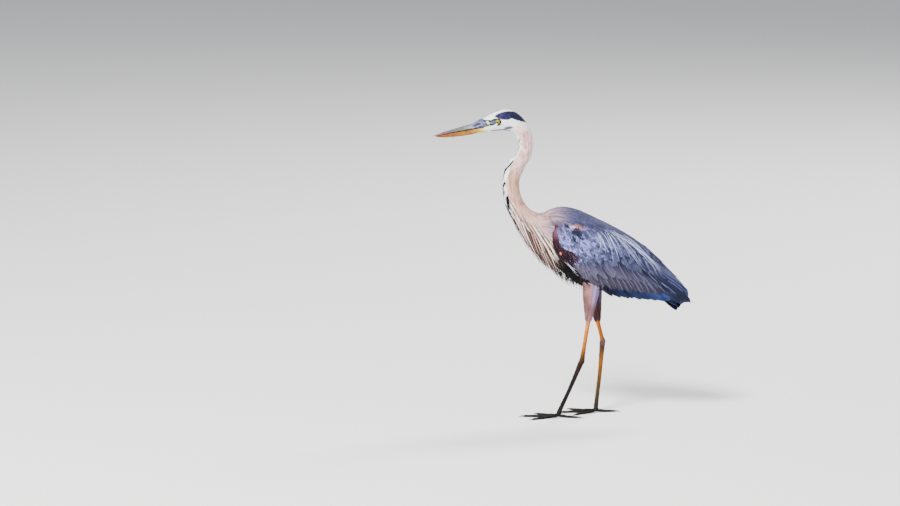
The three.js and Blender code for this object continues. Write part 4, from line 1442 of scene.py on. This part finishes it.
def on_wrist(side):
    """Says which points lie among the small coverts of one wing."""
    def wanted(points):
        x, y, z = points.T
        low = np.interp(x, [-20, 10, 34, 70, 140, 220], [462, 458, 452, 462, 470, 452])
        own = part_of(owners(points), f"wing_{side}_shoulder", f"wing_{side}_coverts", "mantle")
        return own & (y * SIDES[side] > 0) & (z > low) & (z < np.interp(x, *MANTLE_EDGE) + 14)
    return wanted


def spacing_on_wrist(points):
    return np.interp(points[:, X], [-15, 90], [3.0, 4.3])


def flow_wing(points):
    """Down and back over the small coverts, steeper in front."""
    lean = np.radians(np.interp(points[:, X], [-20, 60, 200], [-62, -55, -45]))
    return np.column_stack([np.cos(lean), np.zeros(len(points)), np.sin(lean)])


def wrist_shades(points, chance):
    """Blue-grey mottling, and the chestnut edge of the wrist."""
    x, z = points[:, X], points[:, Z]
    lines = mottle((0.57 * x - 0.82 * z) / 12, (0.82 * x + 0.57 * z) / 4, 9)
    pick = (0.5 * lines + 0.25 + chance.normal(0, 0.2, len(points)))[:, None]
    base = COVERT_DARK + (COVERT_BLUE - COVERT_DARK) * ramp(pick, 0.25, 0.45)
    base = base + (COVERT_PALE - base) * ramp(pick, 0.5, 0.75)
    dusk = np.interp(x, [50, 110, 160, 240], [1, 0.66, 0.5, 0.4])
    root_band = ramp(z, 470, 462) * ramp(x, 80, 104)
    base = base * (dusk * (1 - 0.3 * root_band))[:, None]
    under = ramp(z - np.interp(x, *MANTLE_EDGE), -16, 10)[:, None]
    base = base + (markings(points, owners(points)) - base) * under
    edge_line = on_curve(WRIST_EDGE, np.linspace(0, 1, 60))
    far = np.sqrt(((np.stack([x, z], 1)[:, None] - edge_line[None]) ** 2).sum(2)).min(1)
    wide = np.interp(z, [446, 460, 480, 500, 525, 545], [15, 20, 22, 20, 13, 6])
    red = ramp(far, wide + 2, wide - 2)[:, None]
    chestnut = CHESTNUT + (CHESTNUT_DARK - CHESTNUT) * (chance.random((len(points), 1)) < 0.35)
    chestnut = chestnut + (colour(156, 112, 120) - chestnut) * ramp(z, 512, 530)[:, None] * 0.85
    rim = (ramp(far, 7, 4) * ramp(z, 515, 500))[:, None]
    chestnut = chestnut + (CHESTNUT_DARK * 0.6 - chestnut) * rim
    return base + (chestnut - base) * red


for side, sign in SIDES.items():
    seed = 100 + 50 * sign
    # The lower strip of flight feathers turns from near black in front to FLIGHT_BLUE behind, partly a
    # painted blue sheen.
    quills = [
        row(side, sheet(6, 14), QUILL_ROOTS, QUILL_TIPS, 15, [16, 18, 18], FLIGHT_SLATE * 0.35,
            FLIGHT_BLUE * 0.7, seed + 1, bow=0.03, jitter=1.0, sink=4, lift=0.4, camber=0.16, below=layer,
            base_end=FLIGHT_BLUE * 0.9, free=True)
        for layer in (3.0, 0.0)
    ]
    ends = [
        row(side, sheet(8, 16), END_ROOTS, END_TIPS, 9, [20, 24, 20], FLIGHT_SLATE * 1.2,
            colour(128, 136, 178), seed + 2 + index, bow=-0.03, sink=4, lift=0.5, camber=0.14, below=layer,
            base_end=COVERT_DARK * 0.9, tip_base=FLIGHT_SLATE * 0.8, edged=0.85)
        for index, layer in enumerate((7.0, 3.5, 0.0))
    ]
    coat_piece(f"flight_{side}", "flight_feathers", flight_plumage, *quills, *ends,
               replaces=(f"wing_{side}_flight",))
    secondaries = row(side, sheet(8, 16), SECONDARY_ROOTS, SECONDARY_TIPS, 48, [14, 18, 20], QUILL_SLATE,
                      EDGE_LILAC, seed + 6, bow=0.18, jitter=2, sink=4, lift=1.0, camber=0.14,
                      tip_base=tip_shades(48, QUILL_BROWN * 0.9, FLIGHT_SLATE * 0.8),
                      base_end=QUILL_SLATE * 0.3, edged=0.6, free=True)
    greater = row(side, sheet(8, 14), GREATER_ROOTS, GREATER_TIPS, 36, [12, 15, 17], QUILL_SLATE * 0.9,
                  EDGE_LILAC, seed + 7, bow=0.18, jitter=7, sink=3, lift=1.6, camber=0.14,
                  tip_base=tip_shades(36, colour(134, 130, 152), FLIGHT_SLATE * 0.9),
                  base_end=QUILL_SLATE * 0.3, edged=0.5)
    median = row(side, sheet(6, 10), MEDIAN_ROOTS, MEDIAN_TIPS, 48, [8, 10, 12], COVERT_DARK * 0.9,
                 COVERT_BLUE, seed + 8, bow=0.08, jitter=8, sink=2, lift=2.2, camber=0.14,
                 tip_base=tip_shades(48, COVERT_BLUE * 0.75, COVERT_DARK * 0.6),
                 base_end=COVERT_DARK * 0.5, edged=0.3)
    chance = np.random.default_rng(seed + 9)
    lesser_roots = scatter(outline, on_wrist(side), spacing_on_wrist, seed + 10)
    size = np.interp(lesser_roots[:, X], [-15, 90], [0.6, 1.0])
    lengths = 17 * size * chance.uniform(0.85, 1.15, len(lesser_roots))
    paths, ups = creep(outline, lesser_roots, lengths, 6, flow_wing, 0.12, seed + 11)
    base = wrist_marks(paths[:, 4], wrist_shades(paths[:, 4], chance))
    edge = base + (EDGE_LILAC - base) * 0.2
    lift = np.interp(lesser_roots[:, X], [30, 60], [4.0, 2.5])[:, None]
    lesser = dress(sheet(2, 5), paths, ups, 6.2 * size, base, edge, sink=1.4, lift=lift, thick=0.35,
                   camber=0.14, seed=seed + 12)
    coat_piece(f"coat_wing_{side}", "wing_coverts", covert_plumage, secondaries, greater, median, lesser)

# ---------------------------------------------------------------- the tail
# Twelve broad slate vanes, fanned a little each way from the root and laid over each other.
TAIL_ROOT, TAIL_TIP = np.array([232, 408]), np.array([334, 306])
tail_parts = []
for number in range(12):
    place_across = (number - 5.5) / 5.5
    rank = abs(place_across)
    root = np.array([TAIL_ROOT[0], 7 * place_across, TAIL_ROOT[1] - 6 * rank])
    tip = np.array([TAIL_TIP[0] - 4 * rank, 24 * place_across, TAIL_TIP[1] + 3 * (1 - rank)])
    t = np.linspace(0, 1, 9)[:, None]
    path = root * (1 - t) + tip * t
    up = unit(np.array([0.7, 0.5 * place_across, 0.7]))
    tail_parts.append(
        dress(sheet(6, 14), path[None], np.tile(up, (1, 9, 1)), 22, (FLIGHT_SLATE * 0.7)[None],
              (FLIGHT_BLUE * 0.5)[None], sink=1.5 * rank, lift=3 * (1 - rank), camber=0.16,
              seed=300 + number)
    )
coat_piece("tail_vanes", "flight_feathers", flight_plumage, *tail_parts, replaces=("tail",))

# ---------------------------------------------------------------- the long plumes
# Narrow lilac-white plumes hang from the shoulders over the back and wings. Long pale ones with dark
# edges hang from the lower neck in front of the breast, free at their tips.
PLUME_DARK, PLUME_PALE = colour(60, 62, 88), colour(204, 208, 222)
PLUME_LINES = [
    ((94, 533), (106, 512), (116, 494)),
    ((116, 537), (136, 505), (152, 456)),
    ((128, 542), (166, 501), (204, 430)),
    ((150, 532), (208, 490), (262, 424)),
    ((176, 516), (232, 476), (288, 410)),
    ((204, 496), (246, 466), (296, 422)),
]  # root, middle and tip of the plumes, from front to back
for side, sign in SIDES.items():
    chance = np.random.default_rng(400 + sign)
    count = 72
    ways = np.array(PLUME_LINES, float).reshape(len(PLUME_LINES), 6)
    share = np.linspace(0, len(ways) - 1, count)
    marks = np.column_stack([np.interp(share, range(len(ways)), column) for column in ways.T])
    marks = marks.reshape(count, 3, 2).transpose(1, 0, 2)
    start, middle, end = marks + chance.normal(0, 1, (3, count, 2)) * [[[3]], [[2.5]], [[7]]]
    t = np.linspace(0, 1, 14)[None, :, None]
    turned_at = 2 * middle - (start + end) / 2
    flat = start[:, None] * (1 - t) ** 2 + 2 * turned_at[:, None] * t * (1 - t) + end[:, None] * t**2
    paths, ups = hang(outline, flat, sign)
    pale = (np.arange(count) % 3 == 0)[:, None] * chance.uniform(0.4, 0.95, (count, 1))
    paths = paths + ups * (pale > 0)[..., None] * 2.2
    base = PLUME_DARK + (PLUME_PALE - PLUME_DARK) * pale
    laid = dress(sliver(13), paths, ups, 2.3 - 0.3 * pale[:, 0], base, base, pointed, sink=0.5,
                 lift=1.4 + 0.6 * pale, thick=0.8, seed=410 + sign)
    coat_piece(f"plumes_back_{side}", "back_feathers", back_plumage, laid)

PLUME_TOP = [(-163, 640), (-148, 622), (-126, 600), (-100, 581), (-74, 567), (-50, 556), (-36, 540)]
PLUME_END = [(-96, 499), (-72, 462), (-46, 431), (-22, 412), (-4, 402), (0, 424), (-6, 450)]
breast_form = bmesh.new()
for node in ("breast_plumes", "trunk", "neck_lower"):
    breast_form.from_mesh(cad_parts[node].data)
bmesh.ops.remove_doubles(breast_form, verts=breast_form.verts, dist=0.01 * MM)
bib_piece = piece_of("bib", breast_form)
bib_remesh = bib_piece.modifiers.new("remesh", "REMESH")
bib_remesh.mode, bib_remesh.voxel_size = "VOXEL", 3 * MM
settle(bib_piece)
smooth(bib_piece, np.ones(len(bib_piece.data.vertices)), 6)
bib = Surface(bib_piece)
bpy.data.objects.remove(bib_piece)
PLUME_SHADES = [(226, 212, 208), (206, 186, 178), (176, 158, 160), (112, 92, 98)]
# The deeper layers are darkened: partly the plumes' own dark streaks and partly painted shade between the
# plumes.
PLUME_LAYERS = [(6, 1.0, 64, 5), (0.9, 0.9, 60, 3.6), (0.0, 0.0, 20, 2.6)]  # depth, darkness, count, width
laid = []
for layer, (below, dark, count, wide) in enumerate(PLUME_LAYERS):
    for side, sign in SIDES.items():
        chance = np.random.default_rng(500 + 10 * layer + sign)
        share = (np.arange(count) + chance.random(count)) / count
        start = on_curve(PLUME_TOP, share) + chance.normal(0, 4, (count, 2))
        end = on_curve(PLUME_END, np.clip(share + chance.normal(0, 0.03, count), 0, 1))
        end += chance.normal(0, 4, (count, 2))
        flat = bowed(start, end, 0.03, 16)
        paths, ups = hang(bib, flat, sign)
        paths = paths - ups * below
        shades = np.array([colour(*shade) for shade in PLUME_SHADES])
        base = shades[chance.choice(4, count, p=(0.45, 0.3, 0.15, 0.1))]
        base = base * (1 - dark) + colour(54, 44, 52) * dark
        widths = wide * chance.uniform(0.7, 1.2, count)
        laid.append(dress(sliver(15), paths, ups, widths, base, base * 0.5, pointed, sink=0.8, lift=1.6,
                          thick=0.8, seed=520 + 10 * layer + sign))
coat_piece("plumes_breast", "breast_plumes", breast_plumage, *laid, replaces=("breast_plumes",))

# ---------------------------------------------------------------- the claws
# Curved dark horns, one on each toe. Each is rings from inside the toe's end to a low point, bridged.
CLAW_STATIONS = 12
horn, tree, shader = new_material("claw_horn", 0.35)
worn = texture(tree, "Noise", 260, detail=4)["Fac"]
tree.links.new(mix(tree, worn, colour(26, 22, 22), colour(62, 52, 46)), shader.inputs["Base Color"])
bump(tree, shader, worn, 0.2, 0.2)
for side in SIDES:
    for toe in TOES:
        solid = corners(f"claw_{side}_{toe}")
        knuckle = corners(f"toe_{side}_{toe}").mean(0)[:2]
        reach = np.hypot(*(solid[:, :2] - knuckle).T)
        tip, root = solid[reach.argmax()], solid[reach < reach.min() + 0.6].mean(0)
        ahead = unit(np.array([*(tip - root)[:2], 0]))
        long = float(ahead @ (tip - root))
        turn = Matrix.Rotation(math.atan2(ahead[Y], ahead[X]), 3, "Z")
        turn = turn @ Matrix.Rotation(math.pi / 2, 3, "Y")
        form = bmesh.new()
        before = None
        for t in np.linspace(0, 1, CLAW_STATIONS):
            slim = (1 - 0.93 * t) ** 0.8
            at = root + ahead * (-3 + (long + 3) * t)
            at[Z] = 2.7 + 2.4 * t - 4.7 * t * t
            ring = bmesh.ops.create_circle(form, segments=14, radius=1)["verts"]
            bmesh.ops.scale(form, verts=ring, vec=(min(2.6 * slim, at[Z]) * MM, 2.0 * slim * MM, 1))
            bmesh.ops.rotate(form, verts=ring, matrix=turn)
            bmesh.ops.translate(form, verts=ring, vec=at * MM)
            before = join_ring(form, ring, before)
        close_rings(form, before)
        finish_piece(piece_of(f"claw_horn_{side}_{toe}", form), "claw_horn", horn, f"claw_{side}_{toe}")

# ---------------------------------------------------------------- the scales of legs and feet
# Small overlapping plates cover shank, tarsus and toes, and a row of broad scutes runs down the front
# of each tarsus and along the top of each toe. Their colours are those of the hide below them.
hide_form = Surface(skin)
scale_horn = plumage("scale_horn", 0.5, 0.22, 0.0, 0.1, 0.25, 0.15, tip=0.8)
foot_middles = {side: corners(f"foot_{side}").mean(0) for side in SIDES}


def on_leg(points):
    return part_of(owners(points), *BARE) & (points[:, Z] > 2.0)


def leg_spread(points):
    """Where a scale's root lies when each leg is unrolled: height up the leg, and turn about it."""
    spread = np.empty((len(points), 2))
    for side, sign in SIDES.items():
        own = points[:, Y] * sign > 0
        x, y, z = points[own].T
        foot = foot_middles[side]
        upright = z > 15
        axis_x = np.where(z > 168, np.interp(z, *LEG_LINES[side]), foot[X])
        low = -0.1 - np.hypot(x - foot[X], y - foot[Y]) / 250
        spread[own, 0] = np.where(upright, z / 300, low)
        turn = np.arctan2(y - foot[Y], x - np.where(upright, axis_x, foot[X])) / math.tau
        spread[own, 1] = turn * 0.45 + 0.25 * sign
    return spread


def scales(roots, paths, ups, wide, camber, seed, **how):
    chance = np.random.default_rng(seed)
    base = markings(roots, owners(roots)) * chance.uniform(0.8, 1.2, (len(roots), 1))
    return dress(sheet(2, 3), paths, ups, wide, base, base * 0.55, rounded, camber=camber, thick=0.25,
                 spread=leg_spread(roots), seed=seed, **how)


def scute_row(ends, up, gap, long, wide, seed):
    """A row of scutes on the hide from one end to the other, each lying over the next."""
    start, end = (np.array(point, float) for point in ends)
    count = int(np.linalg.norm(end - start) / gap)
    share = (np.arange(count)[:, None] + np.linspace(0, long / gap, 5)) / (count + 1)
    line = start + (end - start) * np.minimum(share, 1)[..., None]
    paths, ups = hide_form.onto((line + np.array(up) * 6).reshape(-1, 3))
    paths, ups = paths.reshape(count, 5, 3), ups.reshape(count, 5, 3)
    return scales(paths[:, 2], paths, ups, wide, 0.4, seed, sink=0.2, lift=0.35)


leg_roots = scatter(hide_form, on_leg, lambda at: np.interp(at[:, Z], [12, 30, 300], [1.9, 2.5, 2.7]), 71)
size = np.interp(leg_roots[:, Z], [12, 30], [0.75, 1.0])


def flow_toes(points):
    """Down the legs, and outwards along the toes."""
    down = flow_down(points)
    middles = np.where((points[:, Y] < 0)[:, None], foot_middles["left"], foot_middles["right"])
    outward = unit((points - middles) * [1, 1, 0])
    return np.where((points[:, Z] < 13)[:, None], outward, down)


paths, ups = creep(hide_form, leg_roots, 4.2 * size, 4, flow_toes, 0.08, 72)
laid = [scales(leg_roots, paths, ups, 3.8 * size, 0.15, 73, sink=0.15, lift=0.3)]
for side, sign in SIDES.items():
    solid = corners(f"tarsus_{side}")
    top = solid[solid[:, Z] > solid[:, Z].max() - 25].mean(0)
    foot = foot_middles[side]
    laid.append(scute_row([top, foot + (0, 0, 8)], (-1, 0, 0), 4.6, 6.4, 6.4, 74 + sign))
    for toe in TOES:
        knuckle = corners(f"claw_{side}_{toe}")
        root = foot + unit(knuckle.mean(0) - foot) * 9
        near = knuckle[np.linalg.norm(knuckle - foot, axis=1).argmin()]
        laid.append(scute_row([root, near], (0, 0, 1), 3.0, 4.2, 5.6, 76 + sign))
coat_piece("leg_scales", "leg_skin", scale_horn, *laid)

# ---------------------------------------------------------------- floor, light and camera
# The bird stands on a plain pale floor in soft studio light. The camera stands twelve metres off at
# a long lens, level with the back and looking down a little.
floor_form = bmesh.new()
bmesh.ops.create_grid(floor_form, x_segments=1, y_segments=1, size=30)
floor = piece_of("floor", floor_form)
paint, tree, shader = new_material("pale_floor", 0.9)
shader.inputs["Base Color"].default_value = (0.8, 0.79, 0.77, 1)
floor.data.materials.append(paint)

world = bpy.data.worlds.new("studio")
world.use_nodes = True
world.node_tree.nodes["Background"].inputs["Color"].default_value = (0.82, 0.86, 0.93, 1)
world.node_tree.nodes["Background"].inputs["Strength"].default_value = 0.55
bpy.context.scene.world = world
middle = Vector((0, 0, 0.45))
for name, at, size, watts in (
    ("key", (-3.2, -6.4, 7.8), 2.6, 2600),
    ("fill", (-5.5, -2.0, 2.0), 3.0, 260),
    ("rim", (3.6, 5.2, 6.4), 2.4, 900),
):
    light = bpy.data.lights.new(name, "AREA")
    light.shape, light.size, light.energy = "DISK", size, watts
    lamp = bpy.data.objects.new(name, light)
    lamp.location = at
    lamp.rotation_euler = (middle - Vector(at)).to_track_quat("-Z", "Y").to_euler()
    bpy.context.scene.collection.objects.link(lamp)

CAMERA_DISTANCE, CAMERA_TILT = 12.0, math.radians(8)
CAMERA_AIM = Vector((-0.315, 0, 0.468))
AWAY = Vector((0, -math.cos(CAMERA_TILT), math.sin(CAMERA_TILT)))
lens = bpy.data.cameras.new("camera")
lens.sensor_width, lens.lens, lens.clip_end = 36, 168.4, 100
camera = bpy.data.objects.new("camera", lens)
camera.location = CAMERA_AIM + CAMERA_DISTANCE * AWAY
camera.rotation_euler = (math.pi / 2 - CAMERA_TILT, 0, 0)
bpy.context.scene.collection.objects.link(camera)
bpy.context.scene.camera = camera
